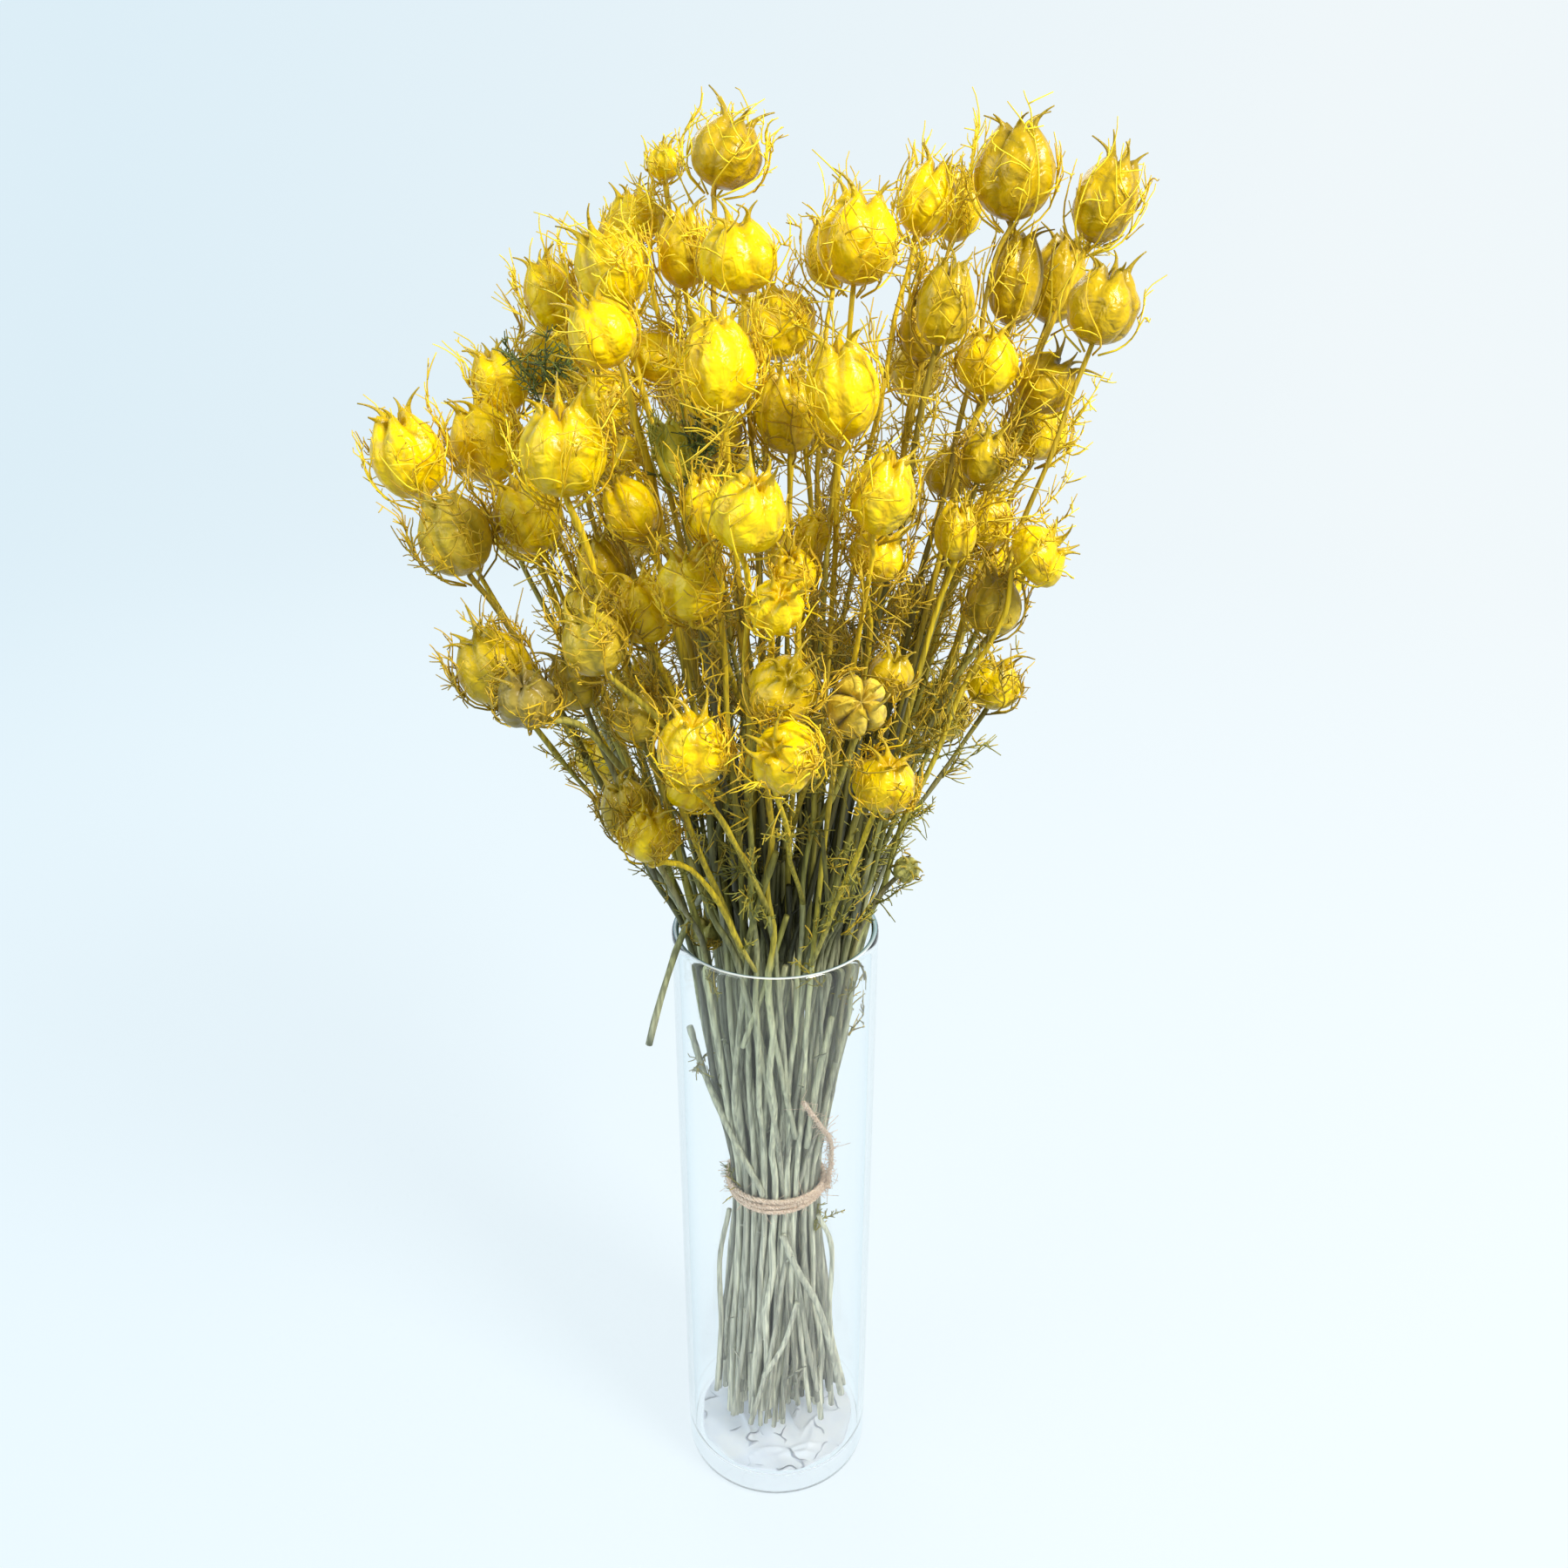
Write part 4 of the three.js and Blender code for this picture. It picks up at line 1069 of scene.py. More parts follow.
def growLeaf(origin, direction, length, spray, threads, tone, rng):
    # A leaf cut into threads: a bowed midrib, side threads both ways and their forks
    upward = np.array([0, 0, 1.0])
    t = np.linspace(0, 1, 6)[:, None]
    bow = rng.normal(0, 0.22, 3)
    rib = origin + length * (direction * t + (0.3 * upward + bow) * t**2)
    thick, thin = threadLook["thick"], threadLook["thin"]
    threads.add(spray, rib[None], thick * 0.9, thin, tone(1, 6))
    count = threadLook["leafSides"]
    at = (np.arange(count) + rng.uniform(0.3, 1, count)) / (count + 0.6)
    foot = np.stack([np.interp(at, t[:, 0], rib[:, k]) for k in range(3)], 1)
    side = unit(np.cross(direction, rng.normal(0, 1, 3)))
    way = np.where(np.arange(count) % 2, 1, -1)[:, None] * side + rng.normal(0, 0.75, (count, 3))
    ahead = unit(0.75 * direction + way)
    reach = length * rng.uniform(0.28, 0.55, count) * (1 - 0.45 * at)
    sideT = np.linspace(0, 1, 4)[None, :, None]
    curl = rng.normal(0, 0.45, (count, 1, 3)) + 0.15 * upward
    paths = foot[:, None] + reach[:, None, None] * (ahead[:, None] * sideT + curl * sideT**2)
    threads.add(spray, paths, thick * 0.7, thin, tone(count, 4))
    forkT = np.linspace(0, 1, 3)[None, :, None]
    turned = unit(ahead + rng.normal(0, 0.6, (count, 3)))
    fork = paths[:, 1:2] + (reach * 0.6)[:, None, None] * (turned[:, None] * forkT + 0.5 * curl * forkT**2)
    threads.add(spray, fork, thick * 0.6, thin, tone(count, 3))


def clearOfPods(paths):
    # Moves thread points that fall inside a pod out to just above its skin
    flat = paths.reshape(-1, 3)
    for i in range(len(pods["width"])):
        frame3, half = podFrame(i), pods["width"][i] / 2
        local = (flat - pods["base"][i]) @ frame3.T
        size = np.array([half * 1.08, half * 1.08, pods["length"][i] * 0.58])
        middle = np.array([0, 0, pods["length"][i] * 0.52])
        scaled = (local - middle) / size
        reach = np.linalg.norm(scaled, axis=1)
        inside = np.flatnonzero(reach < 1)
        if len(inside):
            moved = scaled[inside] / np.maximum(reach[inside], 1e-3)[:, None] * size + middle
            flat[inside] = moved @ frame3 + pods["base"][i]
    low, high = np.array(cadBox[0]) / mm - 6, np.array(cadBox[1]) / mm + 6
    return np.clip(insideGlass(flat), low, high).reshape(paths.shape)


# Curled leaf rests round the bundle: azimuth in degrees, height and length
rests = [
    (200, 168, 16), (215, 160, 13), (340, 152, 14), (325, 146, 10), (190, 236, 20), (345, 262, 24),
    (350, 246, 16), (20, 275, 20), (300, 290, 18), (235, 285, 16), (90, 170, 14), (150, 250, 18),
    (286, 316, 14), (296, 325, 17), (304, 318, 15), (312, 336, 18), (322, 328, 16), (300, 345, 18),
    (332, 340, 16), (290, 338, 15), (315, 352, 18), (228, 322, 15), (215, 330, 17), (236, 340, 15),
    (190, 325, 14), (120, 326, 16), (60, 330, 16), (90, 340, 15),
]
# Dark green tufts among the pods: the pod on whose spray they grow, and their place
tufts = [(6, (-87, 15, 529)), (35, (-24, -38, 506))]


def growRests(threads):
    # One short leaf at the bundle's surface for each row
    rng = np.random.default_rng(21)
    tone = leafTone(np.array([40, 0, 345]), rng)
    for azimuth, height, length in rests:
        reach = np.interp(height, levels[:6], bouquet["bundleRadius"]) + 1
        turn = math.radians(azimuth)
        outward = np.array([math.cos(turn), math.sin(turn), 0])
        direction = unit(outward * 0.45 + [0, 0, 0.6] + rng.normal(0, 0.5, 3))
        growLeaf(outward * reach + [0, 0, height], direction, length, 0, threads, tone, rng)


def growTufts(mains, threads):
    # Eleven short leaves that start within a few millimetres of each tuft's place
    rng = np.random.default_rng(33)
    tone = drawTones(tuftStops, 0.4, 0.25, rng)
    for pod, place in tufts:
        spray = mains.index(stems["parent"][pod])
        for _ in range(11):
            origin = np.array(place) + rng.normal(0, 4, 3)
            direction = unit(rng.normal(0, 0.7, 3) + [0, -0.3, 0.5])
            growLeaf(origin, direction, rng.uniform(12, 19), spray, threads, tone, rng)


def insideGlass(points):
    # Below the rim nothing reaches the glass
    reach = np.hypot(points[..., 0], points[..., 1])
    limit = np.where(points[..., 2] < bouquet["vaseHeight"] + 4, 40, np.inf)
    points[..., :2] *= np.minimum(1, limit / np.maximum(reach, 1e-6))[..., None]
    return points


# Stems: ribbed and slightly swollen where leaves sat, yellow above and grey-green in the vase
stemLook = {
    "low": 1.5,
    "rim": 1.3,
    "pod": 1.05,
    "side": 1.05,
    "bend": 0.55,
    "sides": 8,
    "stepsPerLevel": 4,
    "waves": ((45, 75), (80, 150)),  # mm, lengths of the two bends
    "knots": 5,
    "knotRise": 0.28,
    "podSide": "#e3c60a",
}
# Stem colours by height in mm; the darkest stop, just above the rim, is partly the stems' olive colour and
# partly painted shade
stemStops = [(20, "#cccab4"), (150, "#bdbda7"), (270, "#adb090"), (320, "#8f914a"),
             (390, "#a89c30"), (460, "#cdae22"), (550, "#e6c21a")]


def growStem(i, growth, rng):
    # A tube along the stem's line, with two slow bends, knots and an uneven width
    line = stemLine(stems, i)
    pod = {key: value[i] for key, value in pods.items()}
    line = np.concatenate([line, [pod["base"] - pod["axis"] * 2.6, pod["base"] + pod["axis"] * 0.4]])
    path = smoothLine(line, stemLook["stepsPerLevel"])
    height = path[:, 2]
    free = np.clip((pod["base"][2] - height) / 40, 0, 1) * np.clip((height - line[0, 2]) / 30, 0, 1)
    free = free * np.clip(0.35 + np.abs(height - levels[2]) / 90, 0, 1)
    for wave in [rng.uniform(*lengths) for lengths in stemLook["waves"]]:
        turn = 2 * math.pi * height / wave + rng.uniform(0, 6)
        path[:, :2] += rng.normal(0, stemLook["bend"], 2) * (np.sin(turn) * free)[:, None]
    radius = np.full(len(path), stemLook["side"])
    if stems["own"][i]:
        sizes = [stemLook[key] for key in ("low", "rim", "pod")]
        radius = np.interp(height, [150, 300, pod["base"][2]], sizes)
    radius = radius * (1 + 0.05 * rng.normal(0, 1, len(path))) * rng.uniform(0.88, 1.1)
    knots = rng.uniform(height.min(), height.max(), stemLook["knots"])
    radius += stemLook["knotRise"] * np.exp(-((height[:, None] - knots) / 4) ** 2).sum(1).clip(0, 1)
    points, faces = tubes(path[None], radius[None], stemLook["sides"])
    bright = podKinds.get(i, "bright") == "bright" and i < len(frontPods)
    shift = rng.normal(20 if bright else -60, 40)
    seen = np.where(height > 310, height + shift, height)
    share = rng.choice([0.9, 1.05, 1.25] if bright else [0.45, 0.62, 0.8, 1, 1.2])
    # Painted shade: above the rim, stems darken towards the heart of the bouquet
    inner = np.array([deepness(point) for point in path]) * np.clip((height - 285) / 30, 0, 1)
    tones = mixTone(stemStops, seen) * share * (1 - 0.65 * inner[:, None])
    near = np.clip(1 - (pod["base"][2] - height) / 110, 0, 1)[:, None] * (0.85 if bright else 0.2)
    tones = tones + (np.array(hexColour(stemLook["podSide"])) - tones) * near
    growth.add(points, faces, 1, np.repeat(tones, stemLook["sides"], axis=0))


def growLeaves(i, spray, threads, rng):
    # Leaves at random heights up a stem, fewer and shorter low down, fewer on the front of front pods'
    # stems, and shorter at the bouquet's outside
    line = stemLine(stems, i)
    lowest = threadLook["leafFrom"] if stems["own"][i] else line[0, 2] + 8
    highest = pods["base"][i, 2] - 8
    count = int((highest - lowest) / threadLook["leafSpacing"] + rng.random())
    for _ in range(max(0, count)):
        height = rng.uniform(lowest, highest)
        if rng.random() > np.interp(height, [312, 340, 400], [0.45, 0.75, 1]):
            continue
        if i < len(frontPods) and pods["base"][i, 1] < 0 and rng.random() < 0.55:
            continue
        origin = np.array([np.interp(height, line[:, 2], line[:, k]) for k in range(3)])
        outward = unit(np.append(origin[:2], 0) + rng.normal(0, 14, 3) * [1, 1, 0])
        direction = unit(outward * rng.uniform(0.3, 1) + [0, 0, rng.uniform(0.3, 1)])
        length = rng.uniform(*threadLook["leafLength"]) * np.interp(height, [312, 400], [0.5, 1])
        length *= np.interp(deepness(origin), [0, 0.25], [0.6, 1])
        growLeaf(origin, direction, length, spray, threads, leafTone(origin, rng), rng)


# Bare stems that lost their pods: they cross the bundle and end at many heights
looseLook = {
    "count": 34,
    "radius": (0.9, 1.5),
    "tops": (215, 415),
    "heartCount": 60,
    "heartTops": (330, 470),
    "levels": [0, 1, 2, 3, 4, 5, 7],
    "narrowing": [1, 1, 0.98, 1, 0.98, 0.96, 0.94],
    "steps": 7,
    "sides": 7,
    "stubs": 2,
    "stubLength": (3, 13),
    "stubSteps": 4,
    "stubSides": 5,
    "crossingRadius": (1.2, 1.55),
    "crossingSides": 8,
}
# Snapped stems that lie across the front of the bundle, the first kinked out to the left
crossing = [
    [[-38, -7, 252], [-31.5, -11, 229], [-19, -18.5, 199], [-7.5, -21.5, 174], [-6, -18, 165]],
    [[-13.7, -31.5, 258], [-4, -35.5, 292], [4.9, -38, 326]],
    [[-3, -35, 285], [-0.6, -33.5, 266], [4, -29, 235], [8.9, -25.5, 205]],
    [[3, -22, 146], [10, -23, 126], [19.5, -22.5, 104], [27, -19, 70], [32, -15, 38]],
    [[20, -13, 150], [26.5, -12, 128], [26, -14, 84], [33.5, -11, 40]],
    [[-6, -27, 62], [4, -27, 84], [10, -25.5, 108]],
    [[-22, -9, 150], [-27, -10, 120], [-27, -12, 80], [-30, -11, 36]],
    [[24, -24, 268], [18, -25, 235], [14, -20.5, 196]],
]


def looseStems(growth):
    # Tubes along the snapped stems, then bare stems at random shares of the bundle's radius
    # that turn a little from level to level, each with two short stubs
    look, rng = looseLook, np.random.default_rng(77)
    steps, sides = look["steps"], look["crossingSides"]
    for line in crossing:
        path = smoothLine(np.array(line, float), steps)
        size = rng.uniform(*look["crossingRadius"]) * (1 + 0.05 * rng.normal(0, 1, len(path)))
        points, faces = tubes(path[None], size[None], sides)
        tones = mixTone(stemStops, path[:, 2] + 10) * rng.uniform(0.95, 1.3)
        growth.add(points, faces, 1, np.repeat(tones, sides, axis=0))
    rows, sides = look["levels"], look["sides"]
    reach = np.array(bouquet["bundleRadius"] + [66], float)
    for i in range(look["count"] + look["heartCount"]):
        # The first ones lie anywhere and often in front, the rest fill the dark heart
        heart = i >= look["count"]
        azimuth = rng.uniform(0, 2 * math.pi) if i % 2 else rng.uniform(-2.9, -0.25)
        shares = np.sqrt(rng.uniform(0.02, 0.6) if heart else rng.uniform(0.35, 1))
        shares = shares * np.array(look["narrowing"])
        turned = azimuth + rng.normal(0, 0.75) * (levels[rows] - levels[2]) / 150
        radius = reach * shares - np.where(shares > 0.9, 0.5, 0)
        line = np.stack([radius * np.cos(turned), radius * np.sin(turned), levels[rows]], 1)
        top = rng.uniform(*look["heartTops" if heart else "tops"])
        line[0] = line[1] + (line[0] - line[1]) * rng.uniform(0.5, 1)
        path = smoothLine(line, steps)
        path = path[path[:, 2] < top]
        size = rng.uniform(*look["radius"]) * (1 + 0.05 * rng.normal(0, 1, len(path)))
        size = size + 0.3 * (rng.random(len(path)) < 0.06)
        points, faces = tubes(path[None], size[None], sides)
        tones = mixTone(stemStops, path[:, 2] - 10) * rng.choice([0.6, 0.85, 1.05, 1.3])
        # Painted shade: above the rim the bare stems darken, those in the heart much more
        tones = tones * (1 - (0.75 if heart else 0.2) * np.clip((path[:, 2:] - 285) / 25, 0, 1))
        growth.add(points, faces, 1, np.repeat(tones, sides, axis=0))
        at = rng.integers(3, len(path) - 3, look["stubs"])
        side = unit(rng.normal(0, 1, (len(at), 3)) * [1, 1, 0.2] + [0, 0, 0.9])
        length = rng.uniform(*look["stubLength"], (len(at), 1, 1))
        t = np.linspace(0, 1, look["stubSteps"])[None, :, None]
        stub = insideGlass(path[at][:, None] + side[:, None] * length * t)
        size = np.tile(np.linspace(0.6, 0.35, look["stubSteps"]), (len(at), 1))
        points, faces = tubes(stub, size, look["stubSides"])
        tones = np.repeat(tones[at], look["stubSteps"] * look["stubSides"], axis=0)
        growth.add(points, faces, 1, tones)


def shadeTone(tree, noise, low, high, dark, light):
    # The points' own colours times a share that goes from dark to light with the noise
    tone = addNode(tree, "Attribute", attribute_name="tone").outputs["Color"]
    span = {"From Min": low, "From Max": high, "To Min": dark, "To Max": light}
    shade = addNode(tree, "MapRange", {"Value": noise.outputs[0]}, **span).outputs["Result"]
    return addNode(tree, "VectorMath", {0: tone, 1: shade}, operation="MULTIPLY").outputs["Vector"]


def seedCase():
    # Waxy dyed seed case: cloudy shades about 5 mm wide, folds of 6 mm and wrinkles of 2 mm
    # under a soft gloss
    gloss = {"Roughness": 0.33, "Specular IOR Level": 0.27, "Coat Weight": 0.18, "Coat Roughness": 0.12}
    material, tree, shader = newMaterial("dyedSeedCase", gloss)
    place = addNode(tree, "TexCoord").outputs["Object"]
    cloud = addNode(tree, "TexNoise", {"Vector": place}, Scale=220, Detail=2, Roughness=0.6)
    mixed = shadeTone(tree, cloud, 0.3, 0.7, 0.78, 1.08)
    # Dull grey-brown blotches about 8 mm wide where the dye took badly
    blotch = addNode(tree, "TexNoise", {"Vector": place}, Scale=62, Detail=3, Roughness=0.7)
    span = {"From Min": 0.61, "From Max": 0.72, "To Min": 0, "To Max": 0.55}
    amount = addNode(tree, "MapRange", {"Value": blotch.outputs[0]}, **span).outputs["Result"]
    patchy = addNode(tree, "Mix", {0: amount, 6: mixed}, data_type="RGBA")
    patchy.inputs[7].default_value = hexColour("#a4903c")
    tree.links.new(patchy.outputs[2], shader.inputs["Base Color"])
    fold = addNode(tree, "TexNoise", {"Vector": place}, Scale=170, Detail=2, Distortion=0.8)
    folds = addNode(tree, "Bump", {"Height": fold.outputs[0]}, Strength=0.8, Distance=0.0022)
    wrinkle = addNode(tree, "TexNoise", {"Vector": place}, Scale=420, Detail=2, Roughness=0.62)
    heights = {"Height": wrinkle.outputs[0], "Normal": folds.outputs["Normal"]}
    bump = addNode(tree, "Bump", heights, Strength=0.4, Distance=0.0006)
    tree.links.new(bump.outputs["Normal"], shader.inputs["Normal"])
    return material


def driedStem():
    # Dried stem: a dull skin with streaks about 1 mm wide and 18 mm long
    material, tree, shader = newMaterial("driedStem", {"Roughness": 0.62})
    drawn = addNode(tree, "Mapping", {"Vector": addNode(tree, "TexCoord").outputs["Object"]})
    drawn.inputs["Scale"].default_value = (1, 1, 0.06)
    streak = addNode(tree, "TexNoise", {"Vector": drawn.outputs["Vector"]}, Scale=900, Detail=1)
    mixed = shadeTone(tree, streak, 0.35, 0.65, 0.6, 1.18)
    tree.links.new(mixed, shader.inputs["Base Color"])
    bump = addNode(tree, "Bump", {"Height": streak.outputs[0]}, Strength=0.5, Distance=0.0004)
    tree.links.new(bump.outputs["Normal"], shader.inputs["Normal"])
    return material


def driedThread():
    # Dried thread: thin and matt, in its points' own colours
    material, tree, shader = newMaterial("driedThread", {"Roughness": 0.55})
    tone = addNode(tree, "Attribute", attribute_name="tone").outputs["Color"]
    tree.links.new(tone, shader.inputs["Base Color"])
    return material


def makeSprays():
    # Every stem with its pod, beaks, cage and leaves, joined into one piece a spray
    mains = [i for i in range(len(pods["width"])) if stems["own"][i]]
    growths = [Growth() for _ in mains]
    threads = Threads()
    for spray, main in enumerate(mains):
        for i in np.flatnonzero(stems["parent"] == main):
            rng = np.random.default_rng(1000 + int(i))
            growStem(i, growths[spray], rng)
            frame3 = podFrame(i)
            points, faces, tones, offset = podShell(i, rng)
            growths[spray].add(points @ frame3 + pods["base"][i], faces, 0, tones)
            points, faces, tones = podHorns(i, offset, rng)
            growths[spray].add(points @ frame3 + pods["base"][i], faces, 0, tones)
            growCage(i, spray, threads, rng)
            growLeaves(i, spray, threads, rng)
    growRests(threads)
    growTufts(mains, threads)
    for owner, paths, radii, tones in threads.joined():
        paths = clearOfPods(paths)
        for spray, growth in enumerate(growths):
            mine = owner == spray
            if mine.any():
                points, faces = tubes(paths[mine], radii[mine], 3)
                growth.add(points, faces, 2, np.repeat(tones[mine].reshape(-1, 4), 3, axis=0))
    materials = [seedCase(), driedStem(), driedThread()]
    for spray, growth in enumerate(growths):
        node = f"spray_{spray + 1:02d}"
        piece = growth.mesh(node + "_dried", materials)
        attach(piece, "root")
        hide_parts(node)
    loose = Growth()
    looseStems(loose)
    piece = loose.mesh("loose_stems", materials)
    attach(piece, "root")
    total = sum(growth.triangles() for growth in growths + [loose])
    print("sprays made:", len(growths), "with", total, "triangles")


makeSprays()


# Vase: clear pressed glass with a thick floor and a fire-polished rim, whose pale lip is a painted
# highlight
vaseLook = {
    # Radius and height in mm: up the outside from the middle of the foot, then down the inside
    "foot": [(0, 0.4), (30, 0.2), (40, 0), (43, 0.5), (44.6, 2), (45, 4.5)],
    "outside": [(45, z) for z in range(20, 297, 23)],
    "lip": [(45, 297), (44.9, 298.6), (44.3, 299.7), (43.4, 300)],
    "innerLip": [(42.5, 299.7), (41.9, 298.6), (41.8, 297)],
    "inside": [(42, z) for z in range(292, 14, -23)],
    "floor": [(42, 14), (41, 10.8), (38, 9.3), (20, 9.1), (0, 9)],
    "lipFrom": 299.5,
    "sides": 128,
    "clearTint": [(0, "#ffffff"), (0.45, "#fbfeff"), (0.72, "#e1f0f6"), (0.9, "#abcfdb"), (1, "#6aa2b4")],
    # The lip's colours: white face on as a painted highlight, teal edge on like thick glass
    "lipTint": [(0, "#ffffff"), (0.35, "#f2fafc"), (0.55, "#94bfcc"), (0.85, "#457f92")],
}


def tintedGlass(name, blend, stops, settings):
    # Glass whose colour goes through the stops from where it is seen face on to edge on
    material, tree, shader = newMaterial(name, settings)
    facing = addNode(tree, "LayerWeight", Blend=blend).outputs["Facing"]
    tint = addNode(tree, "ValToRGB", {"Fac": facing}, stops).outputs["Color"]
    tree.links.new(tint, shader.inputs["Base Color"])
    return material


def makeVase():
    # Clear glass with a gloss outside only, and a lip painted pale so that it reads as a bright rim: a
    # painted highlight
    look = vaseLook
    clear = {"Roughness": 0.0, "IOR": 1.12, "Coat IOR": 1.5, "Coat Roughness": 0.02,
             "Transmission Weight": 1}
    bead = {"Roughness": 0.05, "IOR": 1.45, "Transmission Weight": 0.35}
    made = [tintedGlass("clearGlassOutside", 0.3, look["clearTint"], {**clear, "Coat Weight": 1}),
            tintedGlass("clearGlassInside", 0.3, look["clearTint"], {**clear, "Coat Weight": 0}),
            tintedGlass("lipPaintedHighlight", 0.5, look["lipTint"], bead)]
    outer = look["foot"] + look["outside"] + look["lip"]
    inner = look["innerLip"] + look["inside"] + look["floor"]
    points, faces = turnedGrid(outer + inner, look["sides"])
    outsideFaces = len(outer) - 1
    slots = []
    for k, face in enumerate(faces):
        high = points[face][:, :, 2].mean(1) > look["lipFrom"]
        slots.append(np.where(high, 2, 0 if k < outsideFaces else 1))
    piece = buildMesh("vase_glass", points, faces, made, slots)
    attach(piece, "root")
    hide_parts("vase")


# Paper on the vase's floor: a thin pale disc, crumpled into sharp little folds
paperLook = {
    "rings": 44,
    "columns": 128,
    "radius": (0.8, 38.4),  # mm
    "thickness": 0.35,
    "lift": 10.6,
    "waves": 0.55,
    "folds": 16,
    "foldReach": (5, 14),
    "foldWidth": 0.9,
    "foldRise": (1.1, 2.2),
}


def paperMaterial():
    # Matt paper with soft shades about 17 mm wide and thin creases darkened with painted shade
    material, tree, shader = newMaterial("crinkledPaper", {"Roughness": 0.75})
    place = addNode(tree, "TexCoord").outputs["Object"]
    cloud = addNode(tree, "TexNoise", {"Vector": place}, Scale=60, Detail=5)
    # Crease lines: walls of cells about 20 mm wide, bent by 5 mm and broken up by a noise
    bent = addNode(tree, "TexNoise", {"Vector": place}, Scale=45, Detail=2)
    moved = addNode(tree, "VectorMath", {0: bent.outputs["Color"], 2: place}, operation="MULTIPLY_ADD")
    moved.inputs[1].default_value = (0.03, 0.03, 0)
    cells = addNode(tree, "TexVoronoi", {"Vector": moved.outputs["Vector"]}, Scale=48,
                    feature="DISTANCE_TO_EDGE", voronoi_dimensions="2D")
    span = {"From Min": 0.004, "From Max": 0.03, "To Min": 1, "To Max": 0}
    line = addNode(tree, "MapRange", {"Value": cells.outputs["Distance"]}, **span)
    broken = addNode(tree, "TexNoise", {"Vector": place}, Scale=75, Detail=1)
    part = addNode(tree, "MapRange", {"Value": broken.outputs[0]}, **{"From Min": 0.5, "From Max": 0.6})
    crease = addNode(tree, "Math", {0: line.outputs["Result"], 1: part.outputs["Result"]},
                     operation="MULTIPLY")
    stops = [(0.3, "#eaf0fc"), (0.5, "#f3f7ff"), (0.7, "#fafcff")]
    colour = addNode(tree, "ValToRGB", {"Fac": cloud.outputs[0]}, stops).outputs["Color"]
    # Painted shade: the crease lines take a darker grey-blue
    paintedCreaseShade = addNode(tree, "Mix", {0: crease.outputs["Value"], 6: colour}, data_type="RGBA")
    paintedCreaseShade.inputs[7].default_value = hexColour("#c6cad8")
    tree.links.new(paintedCreaseShade.outputs[2], shader.inputs["Base Color"])
    bump = addNode(tree, "Bump", {"Height": crease.outputs["Value"]}, Strength=1, Distance=0.0012)
    tree.links.new(bump.outputs["Normal"], shader.inputs["Normal"])
    return material


def makePaper():
    # A disc of rings that rises and falls in slow waves and sharp short ridges, and its underside
    look, rng = paperLook, np.random.default_rng(5)
    rings, columns = look["rings"], look["columns"]
    around = np.arange(columns) * 2 * math.pi / columns
    radius, angle = np.meshgrid(np.linspace(*look["radius"], rings), around, indexing="ij")
    radius = radius * (1 + 0.012 * np.sin(9 * angle + 1) * (radius / 38) ** 4)
    x, y = radius * np.cos(angle), radius * np.sin(angle)
    fold = 0.8 * np.sin(0.22 * x + 0.1 * y) * np.sin(0.17 * y - 0.05 * x) + 0.4 * np.sin(0.31 * (x + y))
    fold *= look["waves"]
    for _ in range(look["folds"]):
        middle, turn = rng.uniform(-28, 28, 2), rng.uniform(0, 2 * math.pi)
        bend, reach = rng.uniform(-0.03, 0.03), rng.uniform(*look["foldReach"])
        along = (x - middle[0]) * math.cos(turn) + (y - middle[1]) * math.sin(turn)
        across = (y - middle[1]) * math.cos(turn) - (x - middle[0]) * math.sin(turn) + bend * along**2
        ridge = np.exp(-np.abs(across) / look["foldWidth"]) * np.exp(-(along / reach) ** 4)
        fold += rng.uniform(*look["foldRise"]) * ridge
    top = np.stack([x, y, look["lift"] + look["thickness"] + fold], -1)
    bottom = top - [0, 0, look["thickness"]]
    points = np.concatenate([top.reshape(-1, 3), bottom.reshape(-1, 3)])
    index = np.arange(rings * columns).reshape(rings, columns)
    under = index + rings * columns
    low, high = index[:-1], index[1:]
    upper = np.stack([low, high, np.roll(high, -1, 1), np.roll(low, -1, 1)], -1).reshape(-1, 4)
    lower = upper[:, ::-1] + rings * columns
    edge = np.stack([index[-1], under[-1], np.roll(under[-1], -1), np.roll(index[-1], -1)], -1)
    middle = [index[0][None], under[0][None, ::-1]]
    faces = [upper, lower, edge] + middle
    piece = buildMesh("floor_paper_crinkled", points, faces, [paperMaterial()])
    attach(piece, "root")
    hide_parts("floor_paper")


# Twine: three-ply jute, wound three times, knotted on the right with one short tail
def plies(line, strand, lay, sides):
    # Three plies twisted round a line, one turn in each lay of length
    steps = np.concatenate([[0], np.cumsum(np.linalg.norm(np.diff(line, axis=0), axis=1))])
    tangent = unit(np.gradient(line, axis=0))
    across = unit(np.cross(tangent, [0.1, 0.2, 1.0]))
    up = np.cross(tangent, across)
    paths = []
    for ply in range(3):
        turn = (2 * math.pi * (steps / lay + ply / 3))[:, None]
        paths.append(line + strand * 0.55 * (across * np.cos(turn) + up * np.sin(turn)))
    return tubes(np.stack(paths), np.full((3, len(line)), strand * 0.58), sides)


twineLook = {
    "height": 163,  # mm, middle of the winding
    "pitch": 2.5,
    "ring": 22.6,
    "strand": 1.15,
    "lay": 7,  # mm of length for one twist of the plies
    "sides": 6,
    "turns": 3,
    "tail": [[24.2, -6, 164], [25.4, -9, 178], [24.6, -16, 196], [19.4, -25, 212], [12, -31.5, 229]],
    "hairs": 620,
    "hairLength": (1.2, 4.5),
    "hairRadius": 0.14,
}


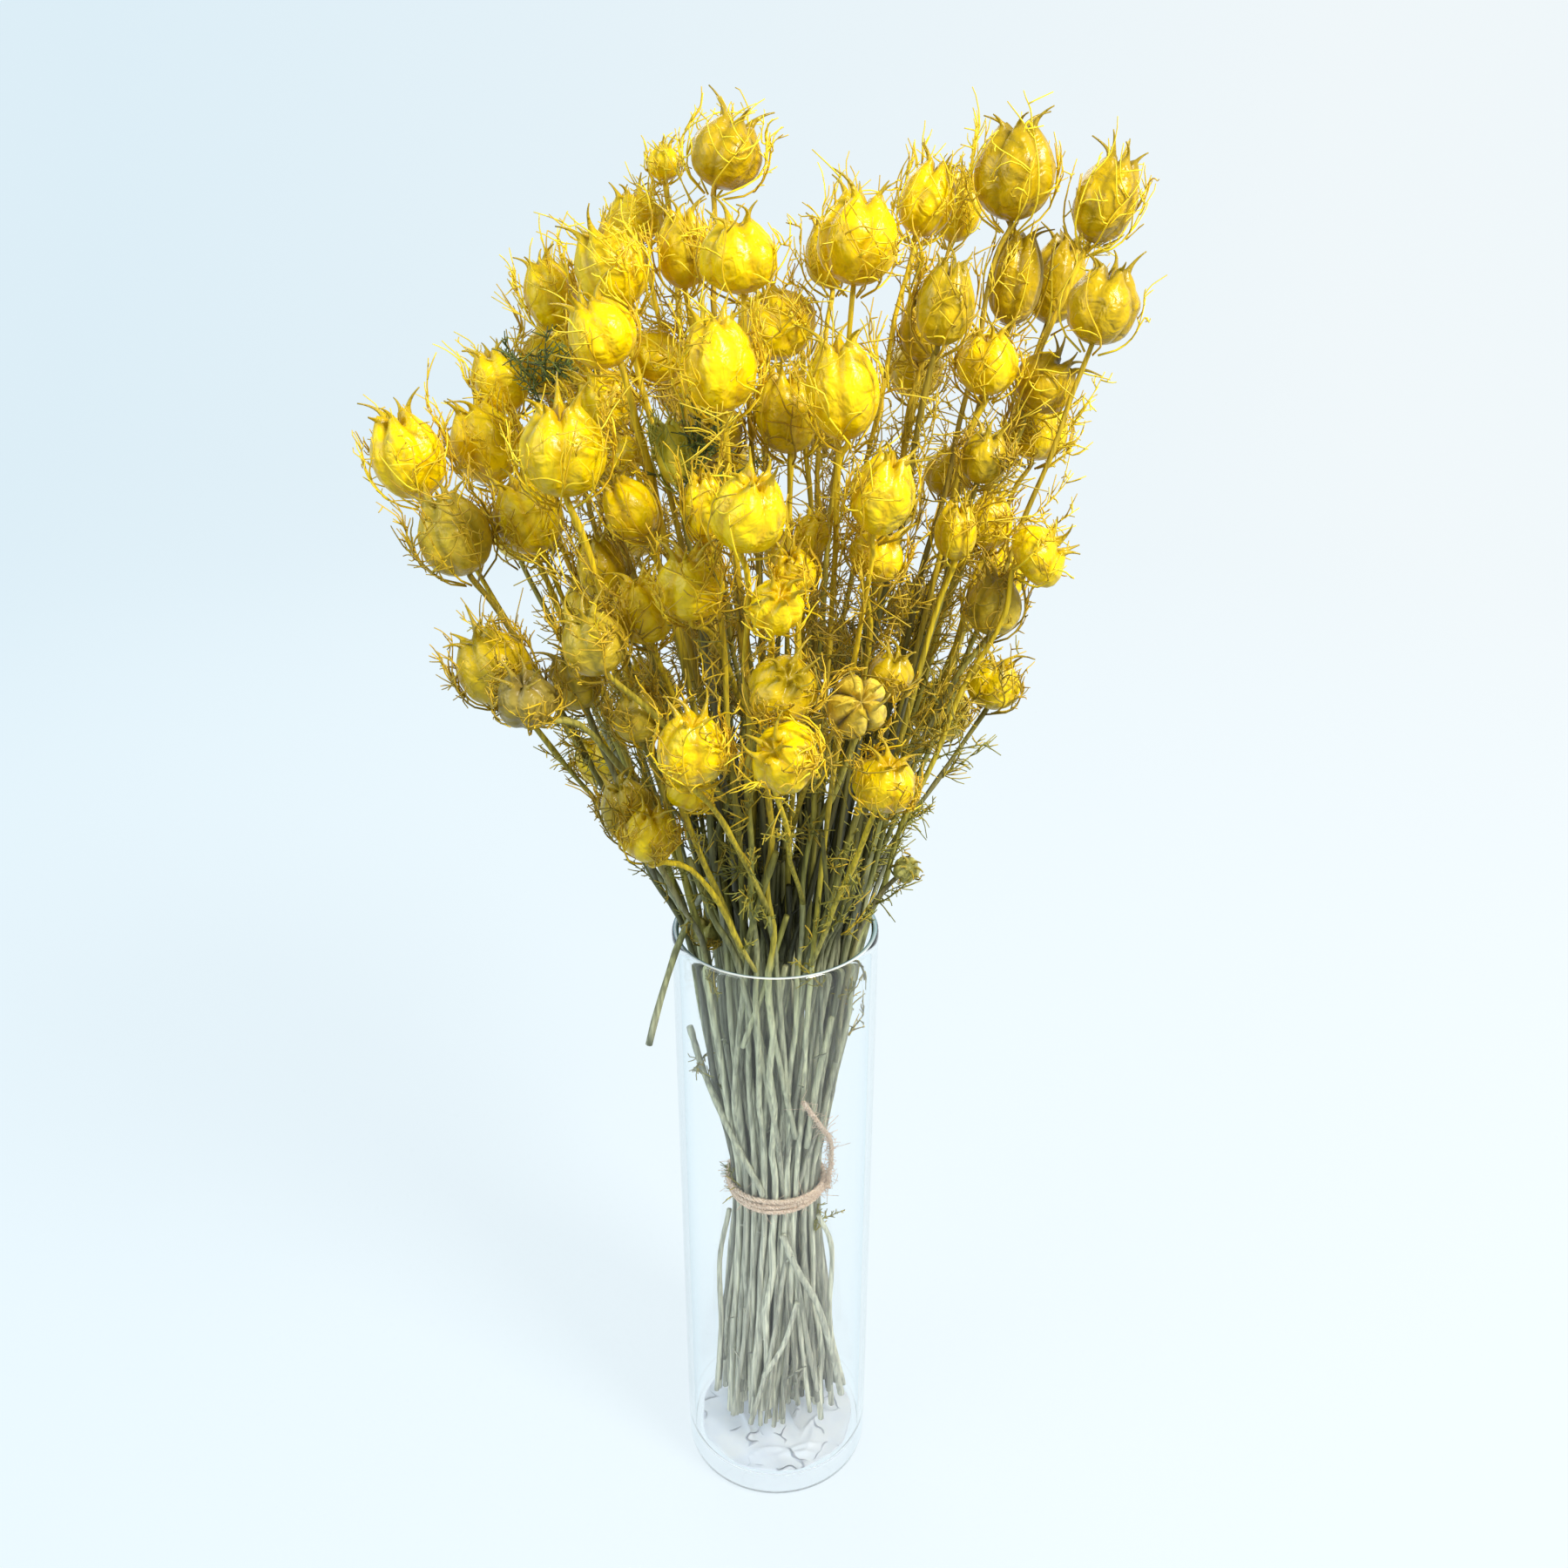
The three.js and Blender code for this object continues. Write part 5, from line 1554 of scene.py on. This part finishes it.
def juteMaterial():
    # Pale jute: fibres about 0.7 mm wide, some darker and lower than others
    material, tree, shader = newMaterial("juteTwine", {"Roughness": 0.9})
    place = addNode(tree, "TexCoord").outputs["Object"]
    fibre = addNode(tree, "TexNoise", {"Vector": place}, Scale=1500, Detail=4)
    stops = [(0.3, "#b89a80"), (0.5, "#dfc6ad"), (0.7, "#f6e8d8")]
    colour = addNode(tree, "ValToRGB", {"Fac": fibre.outputs[0]}, stops).outputs["Color"]
    tree.links.new(colour, shader.inputs["Base Color"])
    bump = addNode(tree, "Bump", {"Height": fibre.outputs[0]}, Strength=0.6, Distance=0.0005)
    tree.links.new(bump.outputs["Normal"], shader.inputs["Normal"])
    return material


def makeTwine():
    # Three turns, a loop for the knot and a tail, each of three plies, and loose hairs
    growth, rng = Growth(), np.random.default_rng(9)
    plain, look = (1, 1, 1, 1), twineLook
    turn = np.linspace(0, 2 * math.pi * look["turns"], 420) - 0.2
    height = look["height"] + look["pitch"] * (turn / (2 * math.pi) - look["turns"] / 2)
    height += 1.1 * np.sin(turn - 0.9) + 0.3 * np.sin(2.3 * turn)
    size = look["ring"] + 0.35 * np.sin(3.1 * turn + 1)
    ring = np.stack([size * np.cos(turn), size * np.sin(turn), height], 1)
    wind = np.linspace(0, 2 * math.pi * 1.7, 70)
    loop = np.stack([23.4 + 1.5 * np.cos(wind), -5 + 2 * np.sin(wind), 159.5 + 7.5 * wind / wind[-1]], 1)
    tailLine = smoothLine(np.array(look["tail"]), 26)
    for line, strand in ((ring, look["strand"]), (loop, look["strand"]), (tailLine, look["strand"] * 0.95)):
        growth.add(*plies(line, strand, look["lay"], look["sides"]), 0, plain)
    hairs = look["hairs"]
    spots = np.concatenate([ring, loop, tailLine, tailLine])
    foot = spots[rng.integers(0, len(spots), hairs)] + rng.normal(0, 0.9, (hairs, 3))
    lean = unit(rng.normal(0, 1, (hairs, 3)))
    t = np.linspace(0, 1, 4)[None, :, None]
    bend = rng.normal(0, 0.5, (hairs, 1, 3))
    size = rng.uniform(*look["hairLength"], (hairs, 1, 1))
    hair = foot[:, None] + size * (lean[:, None] * t + bend * t**2)
    growth.add(*tubes(hair, np.full((hairs, 4), look["hairRadius"]), 3), 0, plain)
    piece = growth.mesh("twine_jute", [juteMaterial()])
    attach(piece, "root")
    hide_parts("twine")


makeVase()
makePaper()
makeTwine()
print("vase, paper and twine made")
